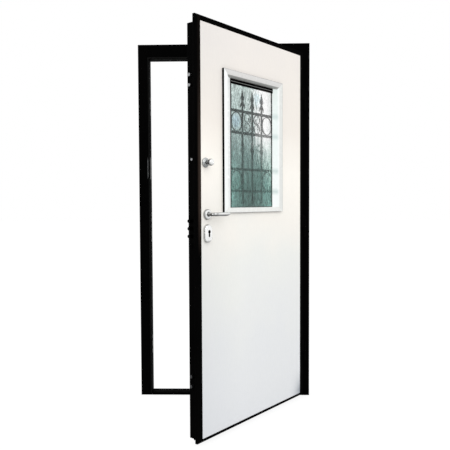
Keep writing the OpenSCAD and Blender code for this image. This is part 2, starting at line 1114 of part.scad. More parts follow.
module bar_balls()
{
    color(iron)
        on_leaf()
            for (s = [-1, 0, 1])
                translate([grille_x + s * bar_pitch, gy, bar_low])
                    difference()
                    {
                        translate([0, 0, 1 - ball_r])
                            sphere(r = ball_r, $fn = 32);
                        bx(-2 * ball_r, 2 * ball_r, -2 * ball_r, 2 * ball_r, 0, ball_r);
                    }
}

// A thin steel box, open towards the lock edge.
module lock_box(x1, z0, z1)
{
    difference()
    {
        bx(case_x0, x1, bolt_y - case_half, bolt_y + case_half, z0, z1);
        bx(case_x0 - 1, x1 - case_wall, bolt_y - case_half + case_wall, bolt_y + case_half - case_wall,
            z0 + case_wall, z1 - case_wall);
    }
}

// The slot in a lock box wall that guides a rod.
module rod_slot(z)
{
    g = fit_gap;
    bx(rod_x - g, rod_x + rod_w + g, bolt_y - rod_half - g, bolt_y + rod_half + g, z - 2 * case_wall,
        z + 2 * case_wall);
}

module lock_case()
{
    color(steel)
        on_leaf()
            difference()
            {
                lock_box(main_cx, main_c0, main_c1);
                rod_slot(main_c0);
                rod_slot(main_c1);
                rod_along_y(spx, lever_z, bolt_y - case_half - 1, bolt_y + case_half + 1,
                    spindle_r + fit_gap);
                flat_y(bolt_y - case_half - 1, bolt_y + case_half + 1)
                    cylinder_profile(0.4);
            }
}

module lock_forend()
{
    color(iron)
        on_leaf()
            difference()
            {
                bx(lock_x, lock_x + edge_t, bolt_y - fore_half, bolt_y + fore_half, fore_z0, fore_z1);
                for (z = main_z)
                    rod_along_x(lock_x - 1, lock_x + edge_t + 1, bolt_y, z, bolt_r + fit_gap);
                latch_cut(lock_x - 1, lock_x + edge_t + 1, fit_gap);
            }
}

module upper_bolt_case()
{
    color(steel)
        on_leaf()
            difference()
            {
                lock_box(side_cx, upper_c0, upper_c0 + side_ch);
                rod_slot(upper_c0);
            }
}

module lower_bolt_case()
{
    color(steel)
        on_leaf()
            difference()
            {
                lock_box(side_cx, lower_c1 - side_ch, lower_c1);
                rod_slot(lower_c1);
            }
}

module limiter_case()
{
    color(steel)
        on_leaf()
            difference()
            {
                lock_box(turn_x + limit_case_x, knob_z - limit_case_down, limit_z + limit_case_up);
                rod_along_y(turn_x, knob_z, bolt_y - case_half - 1, bolt_y, knob_spindle_r + fit_gap);
            }
}

module cylinder_body()
{
    color(iron)
        on_leaf()
            difference()
            {
                flat_y(lip_front - esc_t - eps, body_back + street_esc_t + 1)
                    cylinder_profile(0);
                rod_along_y(spx, cyl_z, lip_front - 20, body_back + 20, plug_r + run_gap);
            }
}

// The slot for the key.
module key_slot(y0, y1)
{
    bx(spx - key_half, spx + key_half, y0, y1, cyl_z - key_up, cyl_z + key_up);
}

module cylinder_plug()
{
    color(steel)
        on_leaf()
            difference()
            {
                rod_along_y(spx, cyl_z, lip_front - esc_t - 0.9, body_back + street_esc_t + 1.4, plug_r);
                key_slot(lip_front - esc_t - 3, lip_front + key_deep);
                key_slot(body_back - key_deep, body_back + street_esc_t + 3);
            }
}

// An oval plate stepped in twice towards its face, drawn from y towards the front or the back.
module escutcheon(w, h, t, dir, y)
{
    difference()
    {
        translate([spx, 0, cyl_z - esc_down])
            for (i = [0:2])
            {
                y1 = y + dir * t * (i + 1) / 3;
                flat_y(min(y, y1), max(y, y1))
                    oval(w - i * esc_edge, h - i * esc_edge);
            }
        flat_y(y - t - 1, y + t + 1)
            cylinder_profile(clear_gap);
    }
}

module inner_escutcheon()
{
    color(steel)
        on_leaf()
            escutcheon(esc_w, esc_h, esc_t, -1, lip_front);
}

module outer_escutcheon()
{
    color(steel)
        on_leaf()
            escutcheon(street_esc_w, street_esc_h, street_esc_t, 1, body_back);
}

// Half of a turned disc's section with a rounded rim.
module disc_shape(r, h, edge)
{
    square([r - edge, h]);
    square([r, h - edge]);
    translate([r - edge, h - edge])
        intersection()
        {
            circle(r = edge);
            square(edge);
        }
}

// Half of a knob head's section with a fully rounded rim.
module head_shape(r, h)
{
    square([r - h / 2, h]);
    translate([r - h / 2, h / 2])
        intersection()
        {
            circle(r = h / 2);
            translate([0, -h / 2])
                square([h / 2, h]);
        }
}

// A disc with a bore for the shaft that turns in it.
module rosette(x, z, r, h, edge, shaft_r)
{
    difference()
    {
        turned_front(x, lip_front, z)
            disc_shape(r, h, edge);
        rod_along_y(x, z, lip_front - h - 1, lip_front + 1, shaft_r + rose_fit);
    }
}

module lever_rosette()
{
    color(steel)
        on_leaf()
            rosette(spx, lever_z, rose_r, rose_t, rose_edge, lever_neck_r);
}

module limiter_rosette()
{
    color(steel)
        on_leaf()
            rosette(turn_x, knob_z, knob_rose_r, knob_rose_t, rose_edge, knob_neck_r);
}

// Fixed pull knob on the street side, under the middle of the window.
module pull_knob()
{
    color(steel)
        on_leaf()
            turned_back(grille_x, body_back, wz0 - pull_below)
            {
                disc_shape(pull_rose_r, pull_rose_t, pull_rose_t / 2);
                square([pull_neck_r, pull_len - pull_head / 2]);
                translate([0, pull_len - pull_head])
                    head_shape(pull_r, pull_head);
            }
}

// Lever handle with its neck and spindle in one piece.
module lever()
{
    y = lip_front - lever_stand;
    l = lever_len;
    color(steel)
        on_leaf()
        {
            rod_along_y(spx, lever_z, y - lever_half + eps, lip_front - eps, lever_neck_r);
            rod_along_y(spx, lever_z, lip_front - 1, bolt_y + case_half - 4, spindle_r);
            translate([spx, 0, lever_z])
                flat_y(y - lever_half, y + lever_half)
                {
                    circle(r = lever_w / 2);
                    polygon([[0, lever_w / 2], [l - lever_tip, lever_tip_w / 2],
                        [l - lever_tip, -lever_tip_w / 2], [0, -lever_w / 2]]);
                    translate([l - 2 * lever_tip, 0])
                        rotate(-90)
                            blade(lever_tip_w, 2 * lever_tip);
                }
        }
}

module latch_bolt()
{
    x0 = lock_x - latch_out;
    x1 = lock_x + latch_tail;
    t = latch_t / 2;
    color(iron)
        on_leaf()
            translate([0, 0, latch_z - latch_h / 2])
                linear_extrude(latch_h)
                    polygon([[x0, bolt_y + t], [x0, bolt_y + t / 2], [lock_x - 1, bolt_y - t],
                        [x1, bolt_y - t], [x1, bolt_y + t]]);
}

// A set of round bolts on one tail plate.
module bolt_set(zs, r, out)
{
    n = len(zs) - 1;
    for (z = zs)
        rod_along_x(lock_x - out, lock_x + tail_in + 1, bolt_y, z, r);
    bx(lock_x + tail_in, lock_x + tail_in + tail_t, bolt_y - tail_half, bolt_y + tail_half,
        zs[0] - tail_half, zs[n] + tail_half);
}

module main_bolts()
{
    color(iron)
        on_leaf()
            bolt_set(main_z, bolt_r, bolt_throw);
}

module upper_bolts()
{
    color(steel)
        on_leaf()
            bolt_set(upper_z, side_bolt_r, side_throw);
}

module lower_bolts()
{
    color(steel)
        on_leaf()
            bolt_set(lower_z, side_bolt_r, side_throw);
}

module upper_rod()
{
    color(iron)
        on_leaf()
            bx(rod_x, rod_x + rod_w, bolt_y - rod_half, bolt_y + rod_half, main_c1 - rod_in,
                upper_c0 + bolt_throw + rod_in);
}

module lower_rod()
{
    color(iron)
        on_leaf()
            bx(rod_x, rod_x + rod_w, bolt_y - rod_half, bolt_y + rod_half, lower_c1 - bolt_throw - rod_in,
                main_c0 + rod_in);
}

module limiter_knob()
{
    color(steel)
        on_leaf()
        {
            turned_front(turn_x, lip_front - eps, knob_z)
            {
                square([knob_neck_r, knob_len - knob_head / 2]);
                translate([0, knob_len - knob_head])
                    head_shape(knob_r, knob_head);
            }
            rod_along_y(turn_x, knob_z, lip_front - 1, bolt_y - 3, knob_spindle_r);
        }
}

module limiter_bolt()
{
    color(steel)
        on_leaf()
            rod_along_x(lock_x, lock_x + limit_len, bolt_y, limit_z, limit_r);
}

lock_jamb();
hinge_jamb();
frame_head();
threshold();
frame_gasket();
main_keep();
upper_keep();
lower_keep();
limiter_keep();
keep_screws();
hinge_frame_halves();
hinge_pins();
hinge_washers();
leaf_shell();
inner_sheet();
stiffeners();
lock_lip();
hinge_lip();
top_lip();
bottom_lip();
inner_panel();
outer_panel();
bottom_seal();
hinge_leaf_halves();
window_liner();
inner_casing();
outer_casing();
glass_pane();
glazing_gasket();
glazing_bar();
grille_sides();
grille_bars();
grille_rails();
spearheads();
bar_knops();
grille_rings();
grille_scrolls();
bar_balls();
lock_case();
lock_forend();
upper_bolt_case();
lower_bolt_case();
limiter_case();
cylinder_body();
inner_escutcheon();
outer_escutcheon();
lever_rosette();
limiter_rosette();
pull_knob();
lever();
latch_bolt();
main_bolts();
upper_bolts();
lower_bolts();
upper_rod();
lower_rod();
cylinder_plug();
limiter_knob();
limiter_bolt();
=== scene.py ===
"""Looks of the armoured door with the grilled glass window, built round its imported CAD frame."""
import math

import bmesh
import bpy
from mathutils import Matrix, Vector, noise


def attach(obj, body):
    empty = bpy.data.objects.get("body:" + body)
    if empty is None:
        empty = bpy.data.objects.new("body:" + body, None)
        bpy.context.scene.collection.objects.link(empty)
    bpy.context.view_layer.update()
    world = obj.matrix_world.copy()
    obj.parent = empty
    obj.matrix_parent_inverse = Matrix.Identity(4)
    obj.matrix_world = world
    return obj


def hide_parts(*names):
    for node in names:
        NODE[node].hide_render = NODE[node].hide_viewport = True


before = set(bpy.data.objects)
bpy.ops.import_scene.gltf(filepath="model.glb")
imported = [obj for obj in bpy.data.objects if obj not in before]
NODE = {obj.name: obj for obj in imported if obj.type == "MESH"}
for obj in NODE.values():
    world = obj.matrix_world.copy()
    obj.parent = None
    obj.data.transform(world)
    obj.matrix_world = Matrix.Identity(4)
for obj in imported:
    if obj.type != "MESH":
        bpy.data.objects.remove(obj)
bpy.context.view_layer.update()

# Shapes are in millimetres, in the CAD source's closed-leaf coordinates. Materials read places in metres.
MM = 0.001
OPEN_ANGLE = math.radians(51)
HINGE = (468.0, -52.0)
PANEL_Y = -52.0
STREET_Y = 19.0
HANDLE_X, TURN_X = -380.0, -390.0
LEVER_Z, CYLINDER_Z, KNOB_Z = 1094.0, 1012.0, 1336.0
PLATE_DROP = 7.5
WIN_X = -17.0
WIN_HALF = 247.0
WIN_Z = (1099.0, 1795.0)
BAR_PITCH = 81.0
BAR_XS = (-BAR_PITCH, 0.0, BAR_PITCH)
SIDE_X = 176.5
GRILLE_Y = -27.5
RAIL_Z = (1610.5, 1501.5, 1317.5, 1206.5)
RAIL_H = 12.0
BAR_TOP = 1624.5
BAR_W = 10.0
ORNAMENT_GAP = 0.6
SEE_HALF = 177.5
SEE_Z = (1124.5, 1758.5)
GLASS_Y = (-42.0, -36.0)
SEAT = 10.0
SEAT_SIDE = 28.0
CASING_Y = (-64.0, -43.0)
FACE_SIDE, FACE_TOP, FACE_LOW = 28.5, 25.5, 22.5
FLARE_SIDE, FLARE_TOP, FLARE_LOW = 41.0, 11.0, 3.0
PULL_PLACE = (0.0, STREET_Y, 1009.0)

to_hinge = Matrix.Translation((HINGE[0] * MM, HINGE[1] * MM, 0))
LEAF = to_hinge @ Matrix.Rotation(OPEN_ANGLE, 4, "Z") @ to_hinge.inverted()


# Shape helpers

def arc(cx, cy, r, start, end, steps):
    """Points on an arc, angles in degrees."""
    out = []
    for i in range(steps + 1):
        a = math.radians(start + (end - start) * i / steps)
        out.append((cx + r * math.cos(a), cy + r * math.sin(a)))
    return out


def filleted(points, radii, steps=6):
    """An open line with its inner corners rounded by the radius given for each point."""
    out = []
    for i, p in enumerate(points):
        r = radii[i]
        if r <= 0 or i in (0, len(points) - 1):
            out.append(p)
            continue
        here = Vector(p)
        back, ahead = (Vector(points[i - 1]) - here), (Vector(points[i + 1]) - here)
        half = back.angle(ahead) / 2
        cut = min(r / math.tan(half), 0.49 * back.length, 0.49 * ahead.length)
        a, b = here + back.normalized() * cut, here + ahead.normalized() * cut
        for k in range(steps + 1):
            t = k / steps
            q = a * (1 - t) ** 2 + here * 2 * t * (1 - t) + b * t * t
            out.append((q.x, q.y))
    return out


def rings_to_faces(rings, closed_path=False, caps=True):
    """Joins equal rings of points into a skin, with end caps on an open run."""
    n = len(rings[0])
    verts = [p for ring in rings for p in ring]
    faces = []
    runs = len(rings) if closed_path else len(rings) - 1
    for i in range(runs):
        a, b = i * n, ((i + 1) % len(rings)) * n
        for k in range(n):
            j = (k + 1) % n
            faces.append((a + k, a + j, b + j, b + k))
    if caps and not closed_path:
        faces.append(tuple(range(n - 1, -1, -1)))
        last = (len(rings) - 1) * n
        faces.append(tuple(last + k for k in range(n)))
    return verts, faces


def lathe(profile, centre, axis, segments, squash=1.0):
    """Turns a line of (radius, height) points round an axis: -y, +y or +z from the centre."""
    cx, cy, cz = centre
    rings = []
    for r, h in profile:
        r = max(r, 0.01)
        ring = []
        for k in range(segments):
            a = 2 * math.pi * k / segments
            u, v = r * math.cos(a), r * math.sin(a)
            if axis == "-y":
                ring.append((cx + u, cy - h, cz + v))
            elif axis == "+y":
                ring.append((cx + u, cy + h, cz + v))
            else:
                ring.append((cx + u, cy + v * squash, cz + h))
        rings.append(ring)
    return rings_to_faces(rings)


def sweep(path, sections, up, closed=False):
    """Carries a section along a path. Each section is a list of (across, along up) points."""
    up = Vector(up)
    count = len(path)
    rings = []
    for i, p in enumerate(path):
        before = Vector(path[(i - 1) % count] if closed or i else path[0])
        after = Vector(path[(i + 1) % count] if closed or i < count - 1 else path[-1])
        across = (after - before).normalized().cross(up).normalized()
        section = sections[i] if isinstance(sections[0], list) else sections
        rings.append([tuple(Vector(p) + across * u + up * v) for u, v in section])
    return rings_to_faces(rings, closed_path=closed)


def oval_section(half_u, half_v, count, power):
    """A rounded section; a higher power is boxier."""
    out = []
    for k in range(count):
        a = 2 * math.pi * k / count
        c, s = math.cos(a), math.sin(a)
        out.append((half_u * math.copysign(abs(c) ** (2 / power), c),
                    half_v * math.copysign(abs(s) ** (2 / power), s)))
    return out


def joined(*parts):
    """Several skins as one."""
    verts, faces = [], []
    for v, f in parts:
        base = len(verts)
        verts += v
        faces += [tuple(base + i for i in face) for face in f]
    return verts, faces


def piece(name, skin, material, body, stands_for=(), place=LEAF, sharp=40):
    """Makes a piece from a skin in millimetres and lets it ride on a body."""
    verts, faces = skin
    mesh = bpy.data.meshes.new(name)
    mesh.from_pydata([(x * MM, y * MM, z * MM) for x, y, z in verts], [], faces)
    bm = bmesh.new()
    bm.from_mesh(mesh)
    bmesh.ops.remove_doubles(bm, verts=bm.verts, dist=2e-6)
    bmesh.ops.recalc_face_normals(bm, faces=bm.faces)
    for f in bm.faces:
        f.smooth = True
    for e in bm.edges:
        if len(e.link_faces) == 2 and e.calc_face_angle() > math.radians(sharp):
            e.smooth = False
    bm.to_mesh(mesh)
    bm.free()
    obj = bpy.data.objects.new(name, mesh)
    bpy.context.scene.collection.objects.link(obj)
    obj.data.materials.append(material)
    obj.matrix_world = place
    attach(obj, body)
    if stands_for:
        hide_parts(*stands_for)
    return obj


# Material helpers

class Look:
    """A procedural material with a few short ways to add nodes."""

    def __init__(self, name, **sockets):
        self.material = bpy.data.materials.new(name)
        self.material.use_nodes = True
        self.tree = self.material.node_tree
        self.shader = self.tree.nodes["Principled BSDF"]
        for key, value in sockets.items():
            self.shader.inputs[key.replace("_", " ")].default_value = value

    def add(self, kind, **props):
        node = self.tree.nodes.new(kind)
        for key, value in props.items():
            setattr(node, key, value)
        return node

    def link(self, a, b):
        self.tree.links.new(a, b)

    def coords(self, scale=(1, 1, 1)):
        where = self.add("ShaderNodeTexCoord")
        mapping = self.add("ShaderNodeMapping")
        mapping.inputs["Scale"].default_value = scale
        self.link(where.outputs["Object"], mapping.inputs["Vector"])
        return mapping.outputs["Vector"]

    def on_closed_leaf(self):
        """Places on a CAD node of the open leaf, as they are when the leaf is closed."""
        back = LEAF.inverted()
        where = self.add("ShaderNodeTexCoord")
        mapping = self.add("ShaderNodeMapping")
        mapping.inputs["Location"].default_value = back.to_translation()
        mapping.inputs["Rotation"].default_value = (0, 0, -OPEN_ANGLE)
        self.link(where.outputs["Object"], mapping.inputs["Vector"])
        return self.split(mapping.outputs["Vector"])

    def split(self, vector):
        node = self.add("ShaderNodeSeparateXYZ")
        self.link(vector, node.inputs[0])
        return node.outputs

    def noise(self, vector, scale, detail, rough=0.55, distort=0.0):
        tex = self.add("ShaderNodeTexNoise")
        tex.inputs["Scale"].default_value = scale
        tex.inputs["Detail"].default_value = detail
        tex.inputs["Roughness"].default_value = rough
        tex.inputs["Distortion"].default_value = distort
        self.link(vector, tex.inputs["Vector"])
        return tex.outputs["Fac"]

    def ramp(self, fac, stops):
        node = self.add("ShaderNodeValToRGB")
        items = node.color_ramp.elements
        while len(items) < len(stops):
            items.new(0.5)
        for item, (at, colour) in zip(items, stops):
            item.position = at
            item.color = (*colour, 1)
        self.link(fac, node.inputs["Fac"])
        return node.outputs["Color"]

    def greys(self, fac, stops):
        """A ramp of plain greys."""
        return self.ramp(fac, [(at, (grey, grey, grey)) for at, grey in stops])

    def spread(self, fac, low, high, from_low=0.3, from_high=0.7):
        """Maps a share of its range to low and high; noise mostly runs from 0.3 to 0.7."""
        node = self.add("ShaderNodeMapRange")
        node.inputs["From Min"].default_value = from_low
        node.inputs["From Max"].default_value = from_high
        node.inputs["To Min"].default_value = low
        node.inputs["To Max"].default_value = high
        self.link(fac, node.inputs["Value"])
        return node.outputs["Result"]

    def maths(self, kind, a, b):
        node = self.add("ShaderNodeMath", operation=kind)
        for i, value in enumerate((a, b)):
            if isinstance(value, (int, float)):
                node.inputs[i].default_value = value
            else:
                self.link(value, node.inputs[i])
        return node.outputs["Value"]

    def mix(self, fac, a, b, blend="MIX", clamp=False):
        node = self.add("ShaderNodeMix", data_type="RGBA", blend_type=blend, clamp_result=clamp)
        for socket, value in ((node.inputs[0], fac), (node.inputs[6], a), (node.inputs[7], b)):
            if isinstance(value, (int, float)):
                socket.default_value = value
            elif isinstance(value, tuple):
                socket.default_value = (*value, 1)
            else:
                self.link(value, socket)
        return node.outputs[2]

    def by_place(self, kind, centre, stops):
        """A grey by distance from a centre: along x, y or z, or round an axis that runs along y."""
        place = self.split(self.coords())
        if kind == "r":
            u = self.maths("SUBTRACT", place["X"], centre[0] * MM)
            v = self.maths("SUBTRACT", place["Z"], centre[1] * MM)
            far = self.maths("ADD", self.maths("MULTIPLY", u, u), self.maths("MULTIPLY", v, v))
            value = self.maths("POWER", far, 0.5)
        else:
            value = self.maths("SUBTRACT", place[kind.upper()], centre * MM)
        first, last = stops[0][0], stops[-1][0]
        share = self.spread(value, 0.0, 1.0, first * MM, last * MM)
        return self.greys(share, [((at - first) / (last - first), grey) for at, grey in stops])

    def bump(self, height, strength, distance):
        node = self.add("ShaderNodeBump")
        node.inputs["Strength"].default_value = strength
        node.inputs["Distance"].default_value = distance
        self.link(height, node.inputs["Height"])
        if self.shader.inputs["Normal"].is_linked:
            self.link(self.shader.inputs["Normal"].links[0].from_socket, node.inputs["Normal"])
        self.link(node.outputs["Normal"], self.shader.inputs["Normal"])

    def colour(self, socket):
        self.link(socket, self.shader.inputs["Base Color"])

    def roughness(self, socket):
        self.link(socket, self.shader.inputs["Roughness"])


def lin(r, g, b):
    """A screen colour, 0 to 255, as linear light."""
    out = []
    for c in (r, g, b):
        c /= 255
        out.append(c / 12.92 if c <= 0.04045 else ((c + 0.055) / 1.055) ** 2.4)
    return tuple(out)


def black_coat(name):
    """Deep black powder coat. Returns the look and its tone, over which the caller may put another colour."""
    look = Look(name, Specular_IOR_Level=0.006)
    where = look.coords()
    tone = look.ramp(look.noise(where, 5.0, 4),
                     [(0.3, (0.0006, 0.0006, 0.0006)), (0.7, (0.0012, 0.0011, 0.0011))])
    look.colour(tone)
    look.roughness(look.spread(look.noise(where, 38.0, 3), 0.55, 0.70))
    look.bump(look.noise(where, 620.0, 2), 0.10, 0.0006)
    return look, tone


def lip_black():
    """Black coat of the lock-side lip, with a warm band of painted reflection of the pale panel beside it."""
    look, tone = black_coat("lip_black")
    place = look.on_closed_leaf()
    across = look.spread(place["X"], 0.0, 1.0, -0.443, -0.430)
    along = look.greys(look.spread(place["Z"], 0.0, 1.0, 0.9, 1.75),
                       [(0.0, 0.0), (0.25, 1.0), (0.6, 1.0), (1.0, 0.1)])
    # Painted reflection: the pale panel's warm colour along the lip's edge.
    painted_panel_reflection = (0.036, 0.026, 0.021)
    look.colour(look.mix(look.maths("MULTIPLY", across, along), tone, painted_panel_reflection))
    return look.material


def pale_panel(name, tones, painted_shade):
    """Film-faced sheet: a slow change of tone from bottom to top, faint clouds and a fine grain.

    A sheet given painted shade also has a bluish painted shadow low down on the hinge side and a painted greyer
    shade towards the lock side.
    """
    look = Look(name, Specular_IOR_Level=0.3)
    where = look.coords()
    height = look.spread(look.split(where)["Z"], 0.0, 1.0, 0.05, 1.95)
    cloud = look.spread(look.noise(where, 2.2, 2), -0.07, 0.07)
    tone = look.ramp(look.maths("ADD", height, cloud), tones)
    if painted_shade:
        place = look.on_closed_leaf()
        # Painted shade: a bluish shadow in the low corner on the hinge side.
        corner = look.maths("MULTIPLY", look.spread(place["X"], 0.0, 1.0, 0.31, 0.43),
                            look.spread(place["Z"], 1.0, 0.0, 0.055, 0.20))
        tone = look.mix(look.maths("POWER", corner, 2.0), tone, lin(134, 142, 152))
        # Painted shade: greyer towards the lock side, low down and near the top.
        upward = look.greys(look.spread(place["Z"], 0.0, 1.0, 0.95, 1.85),
                            [(0.0, 1.0), (0.33, 0.0), (0.55, 0.0), (0.9, 0.7)])
        shade = look.maths("MULTIPLY", look.spread(place["X"], 1.0, 0.0, -0.43, -0.12), upward)
        tone = look.mix(look.maths("MULTIPLY", shade, 0.18), tone, lin(176, 180, 184))
    fine = look.noise(look.coords((1, 1, 0.16)), 210.0, 3)
    grain = look.ramp(fine, [(0.3, (0.972, 0.972, 0.975)), (0.7, (1, 1, 1))])
    look.colour(look.mix(1.0, tone, grain, "MULTIPLY"))
    look.roughness(look.spread(look.noise(where, 26.0, 3), 0.34, 0.46))
    look.bump(fine, 0.05, 0.0004)
    return look.material


def white_lacquer(name):
    """White lacquer with a faint orange peel; it returns its look and its tone, as black_coat does."""
    look = Look(name, Specular_IOR_Level=0.35)
    where = look.coords()
    tone = look.ramp(look.noise(where, 4.0, 2), [(0.3, lin(247, 250, 249)), (0.7, lin(250, 253, 252))])
    look.colour(tone)
    look.roughness(look.spread(look.noise(where, 30.0, 3), 0.20, 0.32))
    look.bump(look.noise(where, 300.0, 2), 0.03, 0.0004)
    return look, tone


def room_casing_white():
    """White lacquer, black round the outside, with painted shade on the head, the right face, the foot, the
    reveal and the outer edges, and painted reflections of the rails on the reveal.
    """
    look, tone = white_lacquer("room_casing_white")
    place = look.split(look.coords())
    from_left = look.maths("SUBTRACT", place["X"], (WIN_X - WIN_HALF) * MM)
    from_right = look.maths("SUBTRACT", (WIN_X + WIN_HALF) * MM, place["X"])
    from_low = look.maths("SUBTRACT", place["Z"], WIN_Z[0] * MM)
    from_top = look.maths("SUBTRACT", WIN_Z[1] * MM, place["Z"])
    from_side = look.maths("MINIMUM", from_left, from_right)

    def member(distance, face, flare):
        """1 on a head or foot member up to its mitres, 0 elsewhere."""
        inside = look.maths("SUBTRACT", from_side, look.maths("MULTIPLY", distance, FACE_SIDE / face))
        mitre = look.spread(inside, 0.0, 1.0, 0.0, 0.0006)
        depth = face + flare
        near = look.spread(distance, 1.0, 0.0, depth * MM, (depth + 0.5) * MM)
        return look.maths("MULTIPLY", mitre, near)

    soft_start = 14
    reveal = look.spread(from_right, 0.0, 1.0, FACE_SIDE * MM, (FACE_SIDE + soft_start) * MM)
    reveal = look.maths("MULTIPLY", reveal, look.spread(from_right, 1.0, 0.0, 0.1, 0.12))
    # Painted shade: the reveal greys and greens towards the head.
    rise = look.spread(place["Z"], 0.0, 1.0, WIN_Z[0] * MM, WIN_Z[1] * MM)
    painted_reveal_shade = [(0.0, lin(248, 253, 252)), (0.35, lin(243, 250, 248)), (0.7, lin(236, 245, 242)),
                    (1.0, lin(226, 235, 231))]
    tone = look.mix(reveal, tone, look.ramp(rise, painted_reveal_shade))
    # Painted reflections of the rails on the reveal.
    for height in RAIL_Z:
        away = look.maths("ABSOLUTE", look.maths("SUBTRACT", place["Z"], height * MM), 0.0)
        painted_rail_reflection = look.maths("MULTIPLY", reveal, look.spread(away, 1.0, 0.0, 0.002, 0.022))
        tone = look.mix(painted_rail_reflection, tone, lin(212, 226, 223))
    # Painted shade on the face of the right member.
    right = look.spread(from_right, 1.0, 0.0, (FACE_SIDE - 0.5) * MM, (FACE_SIDE + 0.5) * MM)
    tone = look.mix(right, tone, lin(226, 228, 225))
    # Painted shade on the foot.
    tone = look.mix(member(from_low, FACE_LOW, FLARE_LOW), tone, lin(233, 234, 231))
    # Painted shade on the head, darker still where it turns in.
    head = look.ramp(look.spread(from_top, 0.0, 1.0, (FACE_TOP - 0.3) * MM, (FACE_TOP + 2) * MM),
                     [(0.0, lin(217, 216, 214)), (1.0, lin(170, 171, 168))])
    tone = look.mix(member(from_top, FACE_TOP, FLARE_TOP), tone, head)
    # Painted shade along the right and top outer edges.
    rim = look.spread(look.maths("MINIMUM", from_right, from_top), 0.0, 1.0, 0.0008, 0.0045)
    tone = look.mix(1.0, tone, look.ramp(rim, [(0.0, (0.70, 0.70, 0.71)), (1.0, (1, 1, 1))]), "MULTIPLY")
    outside = look.maths("MINIMUM", from_side, look.maths("MINIMUM", from_low, from_top))
    look.colour(look.mix(look.spread(outside, 1.0, 0.0, 0.0003, 0.0006), tone, (0.001, 0.001, 0.001)))
    return look.material


def rain_glass():
    """Cast glass with running streaks: teal and less clear below, greyer above, with painted light that pales
    it towards the hinge side and at both sides below, and painted sky between the spears.
    """
    look = Look("rain_glass", IOR=1.36)
    place = look.split(look.coords())
    streak = look.noise(look.coords((1, 1, 0.2)), 88.0, 4, 0.66, 1.6)
    broad = look.noise(look.coords((1, 1, 0.3)), 16.0, 3, 0.55, 0.8)
    rise = look.spread(place["Z"], 0.0, 1.0, 1.12, 1.76)
    clear = look.spread(rise, 0.64, 0.95, 0.15, 0.72)
    mottled = look.maths("ADD", rise, look.spread(broad, -0.07, 0.07))
    base = look.ramp(mottled, [(0.0, lin(84, 113, 108)), (0.22, lin(93, 125, 119)), (0.45, lin(124, 150, 146)),
                               (0.65, lin(174, 193, 190)), (1.0, lin(202, 217, 213))])
    # Painted highlights: paler towards both sides in the lower half
    off = look.maths("SUBTRACT", place["X"], -0.03)
    edge = look.maths("MULTIPLY", look.maths("MULTIPLY", off, off), look.spread(rise, 64.0, 0.0, 0.0, 0.5))
    base = look.mix(1.0, base, look.maths("ADD", edge, 1.0), "MULTIPLY")
    # A bluer spot in the first ring
    blue = look.by_place("r", (-146, 1556), [(20, 1.0), (46, 0.0)])
    base = look.mix(blue, base, look.mix(1.0, base, (0.95, 1.02, 1.14), "MULTIPLY"))
    # Painted light: a pale flare on the hinge side, whose edge leans below lean_from
    lean_from, lean = 1.46, 0.72
    below = look.maths("SUBTRACT", look.maths("MINIMUM", place["Z"], lean_from), lean_from)
    past = look.maths("ADD", place["X"], look.maths("MULTIPLY", below, lean))
    past = look.maths("ADD", past, look.spread(streak, -0.07, 0.07))
    flare = look.spread(past, 0.0, 1.0, -0.03, 0.06)
    flare = look.maths("MULTIPLY", flare, look.spread(rise, 0.45, 1.0, 0.28, 0.58))
    pale = look.mix(flare, base, look.ramp(rise, [(0.3, lin(229, 254, 245)), (0.62, lin(254, 255, 255))]))
    look.link(clear, look.shader.inputs["Transmission Weight"])
    # Painted sky between the spears
    painted_sky_patch = look.by_place("r", (38, 1686), [(20, 1.0), (52, 0.0)])
    painted_sky_patch = look.maths("MULTIPLY", painted_sky_patch, look.spread(streak, 0.4, 1.0))
    pale = look.mix(painted_sky_patch, pale, look.mix(1.0, pale, (0.72, 0.88, 0.97), "MULTIPLY"))
    # Light and dark runs
    strength = look.spread(rise, 2.8, 3.2, 0.1, 0.7)
    swing = look.maths("MULTIPLY", look.maths("SUBTRACT", streak, 0.52), strength)
    tick = look.noise(look.coords((1, 1, 0.3)), 190.0, 3, 0.6, 0.8)
    swing = look.maths("ADD", swing, look.maths("MULTIPLY", look.maths("SUBTRACT", tick, 0.5), 3.0))
    swing = look.maths("MULTIPLY", swing, look.spread(flare, 1.0, 0.4, 0.0, 1.0))
    # Painted light: the runs are lifted inside the flare.
    lift = look.maths("MULTIPLY", flare, look.spread(rise, 0.0, 0.14, 0.48, 0.68))
    run = look.maths("MAXIMUM", look.maths("ADD", look.maths("ADD", swing, 1.0), lift), 0.35)
    look.colour(look.mix(1.0, pale, run, "MULTIPLY", clamp=True))
    look.roughness(look.spread(streak, 0.02, 0.09))
    look.bump(streak, 0.45, 0.0016)
    look.bump(look.noise(look.coords((1, 1, 0.3)), 320.0, 2), 0.08, 0.0006)
    return look.material


def forged_iron():
    """Hammered black iron with a dull sheen."""
    look = Look("forged_iron", Metallic=0.35, Specular_IOR_Level=0.3)
    where = look.coords()
    beat = look.noise(where, 130.0, 2)
    look.colour(look.ramp(beat, [(0.3, (0.010, 0.012, 0.0115)), (0.7, (0.028, 0.032, 0.031))]))
    look.roughness(look.spread(look.noise(where, 60.0, 3), 0.42, 0.64))
    look.bump(beat, 0.5, 0.0009)
    look.bump(look.noise(where, 700.0, 2), 0.12, 0.0004)
    return look.material


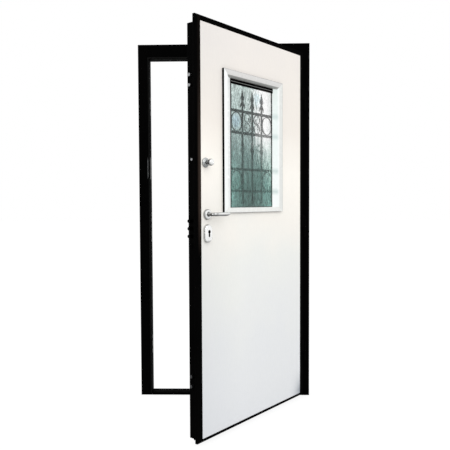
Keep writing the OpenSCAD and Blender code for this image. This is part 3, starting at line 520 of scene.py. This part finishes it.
def metal(name, dark, pale, rough, grain_scale, grain=(1, 1, 1), bump=0.03, painted_shading=()):
    """Plain metal between two tones, with a range of roughness and a fine grain.

    Each row of painted shading darkens it by place, standing in for shade and dark reflections: a kind and a
    centre as in by_place, and [(millimetres, share), ...].
    """
    look = Look(name, Metallic=1.0)
    where = look.coords()
    colour = look.ramp(look.noise(where, 45.0, 3), [(0.3, dark), (0.7, pale)])
    for kind, centre, stops in painted_shading:
        colour = look.mix(1.0, colour, look.by_place(kind, centre, stops), "MULTIPLY")
    look.colour(colour)
    fine = look.noise(look.coords(grain), grain_scale, 3)
    look.roughness(look.spread(fine, *rough))
    look.bump(fine, bump, 0.0003)
    return look.material


def soft_rubber():
    """Matt black rubber."""
    look = Look("soft_rubber", Specular_IOR_Level=0.05)
    where = look.coords()
    look.colour(look.ramp(look.noise(where, 90.0, 3),
                          [(0.3, (0.0022, 0.0022, 0.0022)), (0.7, (0.0045, 0.0045, 0.0043))]))
    look.roughness(look.spread(look.noise(where, 300.0, 3), 0.62, 0.8))
    look.bump(look.noise(where, 800.0, 2), 0.15, 0.0004)
    return look.material


BLACK = black_coat("black_coat")[0].material
LIP_BLACK = lip_black()
# Room-side panel tones from bottom to top, painted light and shade: brightest at the knob's height, greyer
# towards the top and the bottom.
ROOM_PAINTED_LIGHT_TONES = [(0.0, lin(234, 236, 239)), (0.2, lin(235, 237, 238)), (0.42, lin(241, 242, 238)),
              (0.54, lin(249, 246, 239)), (0.67, lin(255, 251, 243)), (0.8, lin(243, 237, 229)),
              (1.0, lin(236, 231, 226))]
STREET_TONES = [(0.0, lin(222, 221, 219)), (0.5, lin(234, 232, 228)), (1.0, lin(236, 234, 230))]
PANEL = pale_panel("pale_panel", ROOM_PAINTED_LIGHT_TONES, painted_shade=True)
STREET = pale_panel("street_panel", STREET_TONES, painted_shade=False)
CASING = white_lacquer("casing_white")[0].material
ROOM_CASING = room_casing_white()
GLASS = rain_glass()
IRON = forged_iron()
SATIN = metal("satin_chrome", (0.62, 0.62, 0.61), (0.74, 0.74, 0.73), (0.20, 0.34), grain_scale=700.0)
BRIGHT = metal("bright_chrome", (0.74, 0.75, 0.76), (0.84, 0.84, 0.85), (0.04, 0.10), grain_scale=500.0,
               bump=0.01)
# Painted shade: a dark underside, a darker top edge and a darker elbow by the rose.
LEVER_METAL = metal(
    "lever_chrome", (0.84, 0.85, 0.84), (0.93, 0.93, 0.92), (0.14, 0.24), 700.0, (0.2, 1, 1), painted_shading=[
        ("z", LEVER_Z, [(-9.5, 0.15), (-5.0, 0.19), (-2.0, 0.45), (1.2, 0.92), (4.5, 1.0), (7.0, 0.78),
                        (9.5, 0.45)]),
        ("x", HANDLE_X, [(-8, 0.55), (14, 0.6), (26, 0.92), (40, 1.0)])])
# Painted shade and reflections: dark by the neck and round the rim, darker below.
ROSE_METAL = metal(
    "rose_chrome", (0.84, 0.86, 0.85), (0.93, 0.94, 0.93), (0.10, 0.20),
    grain_scale=700.0, bump=0.02, painted_shading=[
        ("r", (HANDLE_X, LEVER_Z), [(8.0, 0.20), (10.5, 0.38), (12.5, 0.9), (17.5, 1.0), (20.5, 0.90),
                                    (22.0, 0.42), (24.5, 0.45)]),
        ("z", LEVER_Z, [(-24, 0.62), (-12, 0.9), (16, 1.0)])])
# Painted shade and reflections: dark by the neck, darker rings, darker below.
TURN_METAL = metal(
    "turn_chrome", (0.74, 0.77, 0.77), (0.86, 0.88, 0.88), (0.05, 0.12),
    grain_scale=500.0, bump=0.01, painted_shading=[
        ("r", (TURN_X, KNOB_Z), [(7.0, 0.06), (9.5, 0.22), (13.0, 0.80), (17.0, 0.56), (20.0, 0.78),
                                 (23.0, 0.62)]),
        ("z", KNOB_Z, [(-23, 0.32), (-10, 0.62), (3, 0.95), (23, 1.0)])])
# Painted shade and reflections: a dark rim, a dark neck towards the panel, darker below.
KNOB_METAL = metal(
    "knob_chrome", (0.90, 0.91, 0.90), (0.96, 0.96, 0.95), (0.05, 0.12),
    grain_scale=500.0, bump=0.01, painted_shading=[
        ("r", (TURN_X, KNOB_Z), [(0.0, 1.0), (12.5, 1.0), (14.5, 0.66), (16.5, 0.42)]),
        ("y", PANEL_Y, [(-46, 1.0), (-30, 1.0), (-24, 0.80), (-17, 0.50), (-8, 0.15)]),
        ("z", KNOB_Z, [(-16, 0.40), (-7, 0.80), (0, 1.0)])])
# Painted shade: a darker side wall and a darker lower rim.
ESC_METAL = metal(
    "plate_chrome", (0.88, 0.89, 0.88), (0.95, 0.95, 0.94), (0.18, 0.30),
    grain_scale=700.0, bump=0.02, painted_shading=[
        ("y", PANEL_Y, [(-15.6, 1.0), (-12.5, 0.98), (-9.5, 0.74), (0, 0.62)]),
        ("z", CYLINDER_Z - PLATE_DROP, [(-43, 0.30), (-38, 0.52), (-31, 0.92), (0, 1.0)])])
ZINC = metal("bare_steel", (0.16, 0.165, 0.17), (0.26, 0.265, 0.27), (0.34, 0.50), 500.0, (1, 1, 0.2), 0.06)
# Painted shade: a darker copy of the bare steel, for the lower bolts.
SHADED_LOW_BOLT_METAL = metal("low_bolt_steel", (0.035, 0.036, 0.038), (0.07, 0.072, 0.075), (0.34, 0.50), 500.0,
                       (1, 1, 0.2), 0.06)
DARK = metal("dark_steel", (0.0012, 0.0012, 0.0012), (0.003, 0.003, 0.003), (0.45, 0.60), grain_scale=600.0,
             bump=0.05)
BEAD = metal("bead_steel", (0.28, 0.29, 0.28), (0.40, 0.41, 0.40), (0.35, 0.50), grain_scale=600.0, bump=0.05)
RUBBER = soft_rubber()
BY_SLOT = {"black_steel": BLACK, "pale_panel": PANEL, "street_panel": STREET, "white_casing": CASING,
           "bare_steel": ZINC, "satin_chrome": SATIN, "bright_chrome": BRIGHT, "dark_steel": DARK,
           "wrought_iron": IRON, "seal_rubber": RUBBER, "cast_glass": GLASS}


# CAD nodes that stay in view: finish and softened edges

EDGE = {"lock_jamb": 1.2, "hinge_jamb": 1.2, "frame_head": 1.2, "threshold": 0.8, "frame_gasket": 0.6,
        "main_keep": 0.3, "upper_keep": 0.3, "lower_keep": 0.3, "limiter_keep": 0.3, "keep_screws": 0.3,
        "hinge_frame_halves": 0.8, "hinge_leaf_halves": 0.8, "hinge_washers": 0.2, "hinge_pins": 0.8,
        "leaf_shell": 0.8, "lock_lip": 1.4, "hinge_lip": 1.4, "top_lip": 1.4, "bottom_lip": 1.4,
        "inner_panel": 0.5, "outer_panel": 0.5, "bottom_seal": 0.5, "window_liner": 0.6, "inner_casing": 0.8,
        "outer_casing": 1.2, "glazing_bar": 0.5, "glazing_gasket": 0.3, "grille_rails": 1.0,
        "grille_bars": 0.6, "main_bolts": 1.2, "upper_bolts": 1.2, "lower_bolts": 1.2, "limiter_bolt": 0.8,
        "latch_bolt": 0.8, "cylinder_body": 0.3, "cylinder_plug": 0.2}
OWN_FINISH = {"cylinder_plug": DARK, "hinge_washers": DARK, "hinge_pins": DARK, "lock_lip": LIP_BLACK,
              "lock_forend": BLACK, "lower_bolts": SHADED_LOW_BOLT_METAL}
for name, obj in NODE.items():
    slot = obj.data.materials[0].name.split(".")[0] if obj.data.materials else ""
    material = OWN_FINISH.get(name) or BY_SLOT.get(slot, BLACK)
    obj.data.materials.clear()
    obj.data.materials.append(material)
    if name in EDGE:
        weld = obj.modifiers.new("weld", "WELD")
        weld.merge_threshold = 1e-5
        flat = obj.modifiers.new("flat", "DECIMATE")
        flat.decimate_type = "DISSOLVE"
        flat.angle_limit = math.radians(0.4)
        bevel = obj.modifiers.new("edge", "BEVEL")
        bevel.width = EDGE[name] * MM
        bevel.segments = 2
        bevel.limit_method = "ANGLE"
        bevel.angle_limit = math.radians(40)
        bevel.use_clamp_overlap = False
        normals = obj.modifiers.new("normals", "WEIGHTED_NORMAL")
        normals.keep_sharp = True


# Handles on the room side

def lever_skin():
    """A round neck that bends into a grip, which grows a little and ends in a rounded tip."""
    reach, length, bend, runs = 50.0, 119.0, 13.0, 26
    stand, first, tip = PANEL_Y - reach, HANDLE_X + bend, HANDLE_X + length
    path = [(HANDLE_X, PANEL_Y - 5, LEVER_Z), (HANDLE_X, PANEL_Y - 20, LEVER_Z)]
    path += [(x, y, LEVER_Z) for x, y in arc(first, stand + bend, bend, 180, 270, 10)]
    for i in range(1, runs + 1):
        t = i / runs
        path.append((first + (tip - first) * t, stand + 3.0 * t * t, LEVER_Z))
    total = [0.0]
    for a, b in zip(path, path[1:]):
        total.append(total[-1] + (Vector(b) - Vector(a)).length)
    neck = total[1] + 4
    grown_at = tip_from = 0.72
    sections = []
    for d in total:
        half_h, half_d = 8.2, 7.9
        if d >= neck:
            along = (d - neck) / (total[-1] - neck)
            grow = 0.5 - 0.5 * math.cos(math.pi * min(1, along / grown_at))
            half_h, half_d = 8.2 + 1.1 * grow, 7.4 - 1.6 * grow
        t = d / total[-1]
        if t > tip_from:
            q = (t - tip_from) / (1 - tip_from)
            taper = 0.04 + 0.96 * max(0.0, 1 - q ** 2.1) ** 0.72
            half_h, half_d = half_h * taper, half_d * taper
        sections.append(oval_section(half_d, half_h, 28, 2.15))
    return sweep(path, sections, (0, 0, 1))


ROSE = filleted([(8.3, 0), (24.5, 0), (24.5, 7.5), (22.0, 10.6), (13.0, 13.0), (11.5, 11.4), (8.3, 11.4)],
                [0, 0.4, 3.0, 4.0, 0.6, 0.4, 0])
TURN_ROSE = filleted([(7.3, 0), (23, 0), (23, 5.6), (20.0, 9.0), (15.5, 9.4), (14.5, 8.2), (12.0, 11.0),
                      (10.0, 9.6), (7.3, 9.6)],
                     [0, 0.4, 2.4, 3.0, 0.5, 0.5, 0.6, 0.4, 0])
KNOB = filleted([(0, 0.5), (7, 0.5), (7, 21), (9.0, 25.0), (16.5, 29), (16.5, 39), (13.5, 45.4), (7.0, 46.4),
                 (6.0, 45.6), (0, 45.2)],
                [0, 0, 4, 3, 3.5, 5, 4, 0.6, 0.6, 0], 8)

piece("lever_handle", lever_skin(), LEVER_METAL, "lever", ["lever"])
piece("lever_rose", lathe(ROSE, (HANDLE_X, PANEL_Y, LEVER_Z), "-y", 72), ROSE_METAL, "leaf",
      ["lever_rosette"])
piece("turn_rose", lathe(TURN_ROSE, (TURN_X, PANEL_Y, KNOB_Z), "-y", 72), TURN_METAL, "leaf",
      ["limiter_rosette"])
piece("turn_knob", lathe(KNOB, (TURN_X, PANEL_Y, KNOB_Z), "-y", 72), KNOB_METAL, "limiter_knob",
      ["limiter_knob"])


# Escutcheons with a pillowed face and the profile hole

PLATE_POINTS = 96


def stadium(half_w, half_h, count):
    """Points round an upright oval, evenly by angle of its two half circles."""
    steps = count // 2
    top = arc(0, half_h - half_w, half_w, 0, 180, steps)[:-1]
    low = arc(0, -(half_h - half_w), half_w, 180, 360, steps)[:-1]
    return top + low


def profile_hole(gap, count):
    """The lock cylinder's outline round its axis, a gap wider, with as many points as the oval."""
    r, web, drop = 8.5 + gap, 5 + gap, 19.5
    side = math.degrees(math.asin(web / r))
    top = arc(0, 0, r, -90 + side, 270 - side, count // 2 + count // 4)
    low = arc(0, -drop, web, 180, 360, count - len(top) - 1)
    return top + low


def escutcheon_skin(half_w, half_h, thick, y, direction):
    """A pillowed oval plate; its middle lies a little below the cylinder's axis."""
    steps = [(0, 0), (0, 0.45), (0.5, 0.62), (1.4, 0.77), (3.0, 0.90), (5.5, 0.97), (9, 1.0)]
    rings = []
    for inset, level in steps:
        outline = stadium(half_w - inset, half_h - inset, PLATE_POINTS)
        depth = y + direction * thick * level
        rings.append([(HANDLE_X + u, depth, CYLINDER_Z - PLATE_DROP + v) for u, v in outline])
    hole = profile_hole(0.35, PLATE_POINTS)
    first = max(range(len(hole)), key=lambda i: hole[i][0] + 0.001 * hole[i][1])
    hole = hole[first:] + hole[:first]
    for level in (1.0, 0.0):
        depth = y + direction * thick * level
        rings.append([(HANDLE_X + u, depth, CYLINDER_Z + v) for u, v in hole])
    return rings_to_faces(rings, caps=False)


piece("room_escutcheon", escutcheon_skin(25, 43, 16, PANEL_Y, -1), ESC_METAL, "leaf",
      ["inner_escutcheon"])
piece("street_escutcheon", escutcheon_skin(26, 46, 12, STREET_Y, 1), SATIN, "leaf",
      ["outer_escutcheon"])

PULL = filleted([(0, 0), (27, 0), (27, 4.5), (23, 8), (14, 8.6), (11, 16), (10.5, 30), (13, 40), (24, 43.5),
                 (30.5, 50), (30.5, 57), (24, 63.5), (9, 66), (0, 66)],
                [0, 0.5, 2.0, 3, 3, 5, 8, 6, 6, 5, 5, 8, 6, 0], 8)
piece("street_pull", lathe(PULL, PULL_PLACE, "+y", 80), SATIN, "leaf", ["pull_knob"])


# Grille ornaments

# Heights above the bar's end and half widths of a spear's blade, a short leaf drawn out to a needle
BLADE = [(34, 2.8), (40, 7.6), (46, 13.0), (53, 16.2), (60, 15.0), (67, 11.2), (74, 7.6), (82, 5.4), (91, 3.8),
         (99, 0.9)]


def blade_half(height):
    """Half width of the blade at a height, straight between the rows of BLADE."""
    for (h0, w0), (h1, w1) in zip(BLADE, BLADE[1:]):
        if height <= h1:
            return w0 + (w1 - w0) * max(0.0, height - h0) / (h1 - h0)
    return BLADE[-1][1]


def lens_section(half_w, half_d, waist, swell):
    """A section with two sharp edges that bulges on both faces."""
    u, v = half_w * waist, half_d * swell
    return [(half_w, 0), (u, v), (0, half_d), (-u, v), (-half_w, 0), (-u, -v), (0, -half_d), (u, -v)]


def spear_skin(x):
    """A blade on a turned stem, with a leaf that hangs on each side."""
    low, high = BLADE[0][0], BLADE[-1][0]
    path, sections = [], []
    for i in range(45):
        height = low + (high - low) * i / 44
        w = blade_half(height)
        path.append((x, GRILLE_Y, BAR_TOP + height))
        sections.append(lens_section(w, 0.5 + 3.4 * min(1, w / 7.0), 0.52, 0.56))
    parts = [sweep(path, sections, (0, 1, 0))]
    stem = filleted([(0, 0), (5.2, 0), (5.2, 22), (4.4, 26), (7.2, 29), (7.2, 35), (4.6, 38), (3.6, 44),
                     (0, 44)],
                    [0, 0, 0, 2, 2, 2, 2, 2, 0])
    parts.append(lathe(stem, (x, GRILLE_Y, BAR_TOP), "+z", 24, 0.85))
    for s in (-1, 1):
        path, sections = [], []
        for i in range(17):
            t = i / 16
            rise = 26.5 - 25.5 * t ** 1.35 + 5.0 * math.sin(math.pi * t)
            path.append((x + s * (3.4 + 16.2 * t ** 1.25), GRILLE_Y, BAR_TOP + rise))
            w = 0.35 + 5.5 * math.sin(math.pi * min(1, 0.10 + 0.92 * t)) ** 0.8
            sections.append(lens_section(w, 0.5 + 2.9 * min(1, w / 4.0), 0.5, 0.7))
        parts.append(sweep(path, sections, (0, 1, 0)))
    return joined(*parts)


spears = [spear_skin(x) for x in BAR_XS]
piece("forged_spears", joined(*spears), IRON, "leaf", ["spearheads"], sharp=30)

KNOP = filleted([(5.2, 0), (7.6, 0), (7.6, 3.5), (6.6, 5), (9.5, 12), (12.2, 19), (11.2, 27), (7.4, 32),
                 (7.4, 35), (9.2, 41), (9.2, 48), (7.0, 53), (6.8, 55), (7.6, 56.5), (7.6, 60), (5.2, 60)],
                [0, 0.5, 0.8, 1, 3, 5, 4, 1, 1, 2, 3, 2, 1, 0.8, 0.5, 0])
KNOP_LOW = 1396.3
knops = [lathe(KNOP, (x, GRILLE_Y, KNOP_LOW), "+z", 32, 0.63) for x in BAR_XS]
piece("turned_knops", joined(*knops), IRON, "leaf", ["bar_knops"], sharp=50)

RING_HALF = 1.6
RING_SECTION = oval_section(RING_HALF, 3.6, 16, 3.2)


def ring_skin(x, z, w, h):
    """An upright oval ring of an outer width and height."""
    half_w, half_h = w / 2 - RING_HALF, h / 2 - RING_HALF
    path = [(x + u, GRILLE_Y, z + v) for u, v in stadium(half_w, half_h, 80)]
    return sweep(path, RING_SECTION, (0, 1, 0), closed=True)


rings = []
for s in (-1, 1):
    for top, low in ((0, 1), (2, 3)):
        rings.append(ring_skin(s * (SIDE_X + BAR_PITCH) / 2, (RAIL_Z[top] + RAIL_Z[low]) / 2,
                               SIDE_X - BAR_PITCH - BAR_W - ORNAMENT_GAP,
                               RAIL_Z[top] - RAIL_Z[low] - RAIL_H - ORNAMENT_GAP))
piece("oval_rings", joined(*rings), IRON, "leaf", ["grille_rings"], sharp=50)


SCROLL_HALF, SCROLL_DEEP = 1.4, 2.7
BALL_R = 3.3


def scroll_skin(x, z, h, s):
    """An S of two volutes, each curling in to a ball."""
    r = h / 4 + 1.5 - SCROLL_HALF
    c = h / 2 - r - SCROLL_HALF
    curl = 48
    line = []
    for i in range(curl + 1):
        a = math.radians(-200 + 200 * i / curl)
        spiral = r * (0.34 + 0.66 * (i / curl) ** 0.9)
        line.append((spiral * math.cos(a), c + spiral * math.sin(a)))
    line += arc(0, c, r, 0, 270, 54)[1:]
    mirrored = [(-u, -v) for u, v in reversed(line)]
    line += mirrored[1:]
    path = [(x + s * u, GRILLE_Y, z + v) for u, v in line]
    sections = []
    for i in range(len(path)):
        from_end = min(i, len(path) - 1 - i)
        k = 0.62 + 0.38 * min(1, from_end / 40)
        sections.append(oval_section(SCROLL_HALF * k, SCROLL_DEEP * k, 14, 3.0))
    parts = [sweep(path, sections, (0, 1, 0))]
    turns = [math.pi * i / 12 for i in range(13)]
    ball = [(BALL_R * math.sin(a), BALL_R - BALL_R * math.cos(a)) for a in turns]
    for u, v in (line[0], line[-1]):
        parts.append(lathe(ball, (x + s * u, GRILLE_Y, z + v - BALL_R), "+z", 20))
    return joined(*parts)


scroll_z = (RAIL_Z[0] + RAIL_Z[1]) / 2
scroll_h = RAIL_Z[0] - RAIL_Z[1] - RAIL_H - ORNAMENT_GAP
scrolls = [scroll_skin(s * BAR_PITCH / 2, scroll_z, scroll_h, s) for s in (-1, 1)]
piece("iron_scrolls", joined(*scrolls), IRON, "leaf", ["grille_scrolls"], sharp=60)


# The white casing: four dished members with mitred corners

def casing_section(face, flare):
    """Points (distance in from the casing's edge, depth) of one member, the same count for every member."""
    front, back = CASING_Y
    lip, rebate, dish = 2.0, 6.3, 2.6
    line = [(0.0, front + lip), (0.0, front), (face, front + dish), (face + flare, back), (rebate, back),
            (rebate, front + lip)]
    return filleted(line, [0, 1.4, 1.2, 0, 0, 0], 5)


def casing_skin():
    gap = 0.1
    side = casing_section(FACE_SIDE, FLARE_SIDE)
    top, low = casing_section(FACE_TOP, FLARE_TOP), casing_section(FACE_LOW, FLARE_LOW)
    x0, x1 = WIN_X - WIN_HALF, WIN_X + WIN_HALF
    z0, z1 = WIN_Z
    members = []
    for edge, sign in ((x0, 1), (x1, -1)):
        members.append([[(edge + sign * d, y, z0 + low[k][0] + gap) for k, (d, y) in enumerate(side)],
                        [(edge + sign * d, y, z1 - top[k][0] - gap) for k, (d, y) in enumerate(side)]])
    for edge, sign, section in ((z0, 1, low), (z1, -1, top)):
        members.append([[(x0 + side[k][0] + gap, y, edge + sign * d) for k, (d, y) in enumerate(section)],
                        [(x1 - side[k][0] - gap, y, edge + sign * d) for k, (d, y) in enumerate(section)]])
    return joined(*[rings_to_faces(rings) for rings in members])


piece("casing_members", casing_skin(), ROOM_CASING, "leaf", ["inner_casing"], sharp=32)


# The glass pane with its running relief

def glass_skin():
    """A slab whose room face sinks in and waves, but stays flat where the seat holds it."""
    x0, x1 = WIN_X - SEE_HALF - SEAT_SIDE, WIN_X + SEE_HALF + SEAT_SIDE
    z0, z1 = SEE_Z[0] - SEAT, SEE_Z[1] + SEAT
    nx, nz = 118, 110
    front, back = [], []
    for j in range(nz + 1):
        for i in range(nx + 1):
            x, z = x0 + (x1 - x0) * i / nx, z0 + (z1 - z0) * j / nz
            rim = min(x - x0 - SEAT_SIDE, x1 - x - SEAT_SIDE, z - z0 - SEAT, z1 - z - SEAT)
            fade = max(0.0, min(1.0, (rim - 1) / 8))
            warp = 5.0 * noise.noise((x * 0.03, 3.1, z * 0.008))
            wave = noise.noise(((x + warp) * 0.085, 0.0, z * 0.014))
            wave += 0.45 * noise.noise(((x - warp) * 0.19, 7.0, z * 0.03))
            front.append((x, GLASS_Y[0] + fade * (0.55 + 0.42 * wave), z))
            back.append((x, GLASS_Y[1], z))
    verts = front + back
    shift = len(front)
    faces = []
    row = nx + 1
    for j in range(nz):
        for i in range(nx):
            a = j * row + i
            faces.append((a, a + 1, a + row + 1, a + row))
            faces.append((shift + a, shift + a + row, shift + a + row + 1, shift + a + 1))
    rim = list(range(nx)) + [nx + j * row for j in range(nz)]
    rim += [nz * row + i for i in range(nx, 0, -1)] + [j * row for j in range(nz, 0, -1)]
    for a, b in zip(rim, rim[1:] + rim[:1]):
        faces.append((a, a + shift, b + shift, b))
    return verts, faces


piece("rain_pane", glass_skin(), GLASS, "leaf", ["glass_pane"], sharp=60)


# The pale bead that lies in the groove of the bar over the glass

def bead_skin():
    first, run = WIN_X - SEE_HALF + 0.5, 2 * SEE_HALF - 1
    groove_y, groove_z = CASING_Y[1] - 3.5, SEE_Z[1] - 12.05
    path = [(first + run * i / 30, groove_y, groove_z) for i in range(31)]
    return sweep(path, oval_section(1.15, 1.0, 12, 2.6), (0, 1, 0))


piece("bar_bead", bead_skin(), BEAD, "leaf")


# The gasket's lip that shows along both sides of the glass

def gasket_lip_skin():
    strips = []
    under_bar = 24.2
    low, high = SEE_Z[0] + 0.2, SEE_Z[1] - under_bar
    face, thin, foot = GLASS_Y[0] - 0.95, GLASS_Y[0] - 0.3, GLASS_Y[0] - 0.06
    for side, width in ((-1, 6.0), (1, 5.0)):
        edge = WIN_X + side * (SEE_HALF - 0.15)
        line = filleted([(0, face), (1.2, face), (width, thin), (width, foot), (0, foot)],
                        [0, 0.6, 0.1, 0, 0], 3)
        strips.append(rings_to_faces([[(edge - side * d, y, z) for d, y in line] for z in (low, high)]))
    return joined(*strips)


piece("gasket_lip", gasket_lip_skin(), RUBBER, "leaf")


# A bright steel strip along the limiter keep's edge on the face of the lock jamb: a painted highlight of that
# edge

def keep_edge_skin():
    path, sections = [], []
    x, y, z0, z1 = -447.3, -36.5, 1291.0, 1415.0
    for i in range(25):
        t = i / 24
        path.append((x, y, z0 + (z1 - z0) * t))
        wide = min(1.0, 0.25 + 6 * min(t, 1 - t))
        sections.append(oval_section(0.9 * wide, 0.6, 12, 3.0))
    return sweep(path, sections, (0, 1, 0))


piece("keep_edge", keep_edge_skin(), ZINC, "frame", place=Matrix.Identity(4))


# Camera at the photograph's angle: places in metres, angles in degrees

FOCAL_PX, PHOTO_PX = 565.2, 450
SENSOR = 36.0
CAMERA_PLACE = (0.078, -3.364, 1.154)
YAW, PITCH, ROLL = 1.265, -2.383, 0.266


def aim(camera, place, yaw, pitch, roll):
    """Puts a camera that looks along +Y at a place and turns it."""
    turn = (Matrix.Rotation(math.radians(yaw), 3, "Z") @ Matrix.Rotation(math.radians(pitch), 3, "X")
            @ Matrix.Rotation(math.radians(roll), 3, "Y"))
    right, ahead, up = (turn @ Vector(v) for v in ((1, 0, 0), (0, 1, 0), (0, 0, 1)))
    rows = [(right[i], up[i], -ahead[i], place[i]) for i in range(3)]
    camera.matrix_world = Matrix([*rows, (0, 0, 0, 1)])


lens_data = bpy.data.cameras.new("camera")
lens_data.sensor_width = SENSOR
lens_data.lens = FOCAL_PX / PHOTO_PX * SENSOR
camera = bpy.data.objects.new("camera", lens_data)
bpy.context.scene.collection.objects.link(camera)
aim(camera, CAMERA_PLACE, YAW, PITCH, ROLL)
bpy.context.scene.camera = camera


# White studio: world, floor and soft lamps, in metres

def seen_directly(tree):
    """1 for rays from the camera, a mirror or glass, 0 for the light that falls on the object."""
    path = tree.nodes.new("ShaderNodeLightPath")
    seen = path.outputs["Is Camera Ray"]
    for kind in ("Is Glossy Ray", "Is Transmission Ray"):
        either = tree.nodes.new("ShaderNodeMath")
        either.operation = "MAXIMUM"
        tree.links.new(seen, either.inputs[0])
        tree.links.new(path.outputs[kind], either.inputs[1])
        seen = either.outputs[0]
    return seen


world = bpy.data.worlds.new("studio")
bpy.context.scene.world = world
world.use_nodes = True
tree = world.node_tree
tree.nodes.clear()
sky = tree.nodes.new("ShaderNodeBackground")
sky.inputs["Color"].default_value = (1, 1, 1, 1)
sky.inputs["Strength"].default_value = 1.0
out = tree.nodes.new("ShaderNodeOutputWorld")
tree.links.new(sky.outputs[0], out.inputs[0])

FLOOR_HALF, FLOOR_Z = 30.0, -0.001
floor_mesh = bpy.data.meshes.new("floor")
corners = [(u * FLOOR_HALF, v * FLOOR_HALF, FLOOR_Z) for u, v in ((-1, -1), (1, -1), (1, 1), (-1, 1))]
floor_mesh.from_pydata(corners, [], [(0, 1, 2, 3)])
floor = bpy.data.objects.new("floor", floor_mesh)
bpy.context.scene.collection.objects.link(floor)
floor_look = bpy.data.materials.new("floor_white")
floor_look.use_nodes = True
tree = floor_look.node_tree
tree.nodes.clear()
paint = tree.nodes.new("ShaderNodeBsdfDiffuse")
paint.inputs["Color"].default_value = (0.45, 0.45, 0.45, 1)
glow = tree.nodes.new("ShaderNodeEmission")
glow.inputs["Strength"].default_value = 1.27
share = tree.nodes.new("ShaderNodeMath")
share.operation = "MULTIPLY"
share.inputs[1].default_value = 0.70
blend = tree.nodes.new("ShaderNodeMixShader")
out = tree.nodes.new("ShaderNodeOutputMaterial")
tree.links.new(seen_directly(tree), share.inputs[0])
tree.links.new(share.outputs[0], blend.inputs[0])
tree.links.new(paint.outputs[0], blend.inputs[1])
tree.links.new(glow.outputs[0], blend.inputs[2])
tree.links.new(blend.outputs[0], out.inputs[0])
floor_mesh.materials.append(floor_look)


def soft_lamp(name, place, target, size, watts):
    """A round lamp that the camera doesn't see."""
    data = bpy.data.lights.new(name, "AREA")
    data.shape = "DISK"
    data.size = size
    data.energy = watts
    lamp = bpy.data.objects.new(name, data)
    bpy.context.scene.collection.objects.link(lamp)
    lamp.location = place
    lamp.visible_camera = False
    lamp.rotation_euler = (Vector(target) - Vector(place)).to_track_quat("-Z", "Y").to_euler()


soft_lamp("key", place=(2.6, -3.8, 3.6), target=(0.1, -0.3, 1.2), size=4.5, watts=82)
soft_lamp("side", place=(-3.2, -3.0, 2.0), target=(0.1, -0.4, 1.3), size=2.0, watts=28)
soft_lamp("street", place=(-3.3, 0.5, 2.4), target=(0.1, -0.4, 1.3), size=2.0, watts=26)

bpy.context.scene.view_settings.view_transform = "Standard"
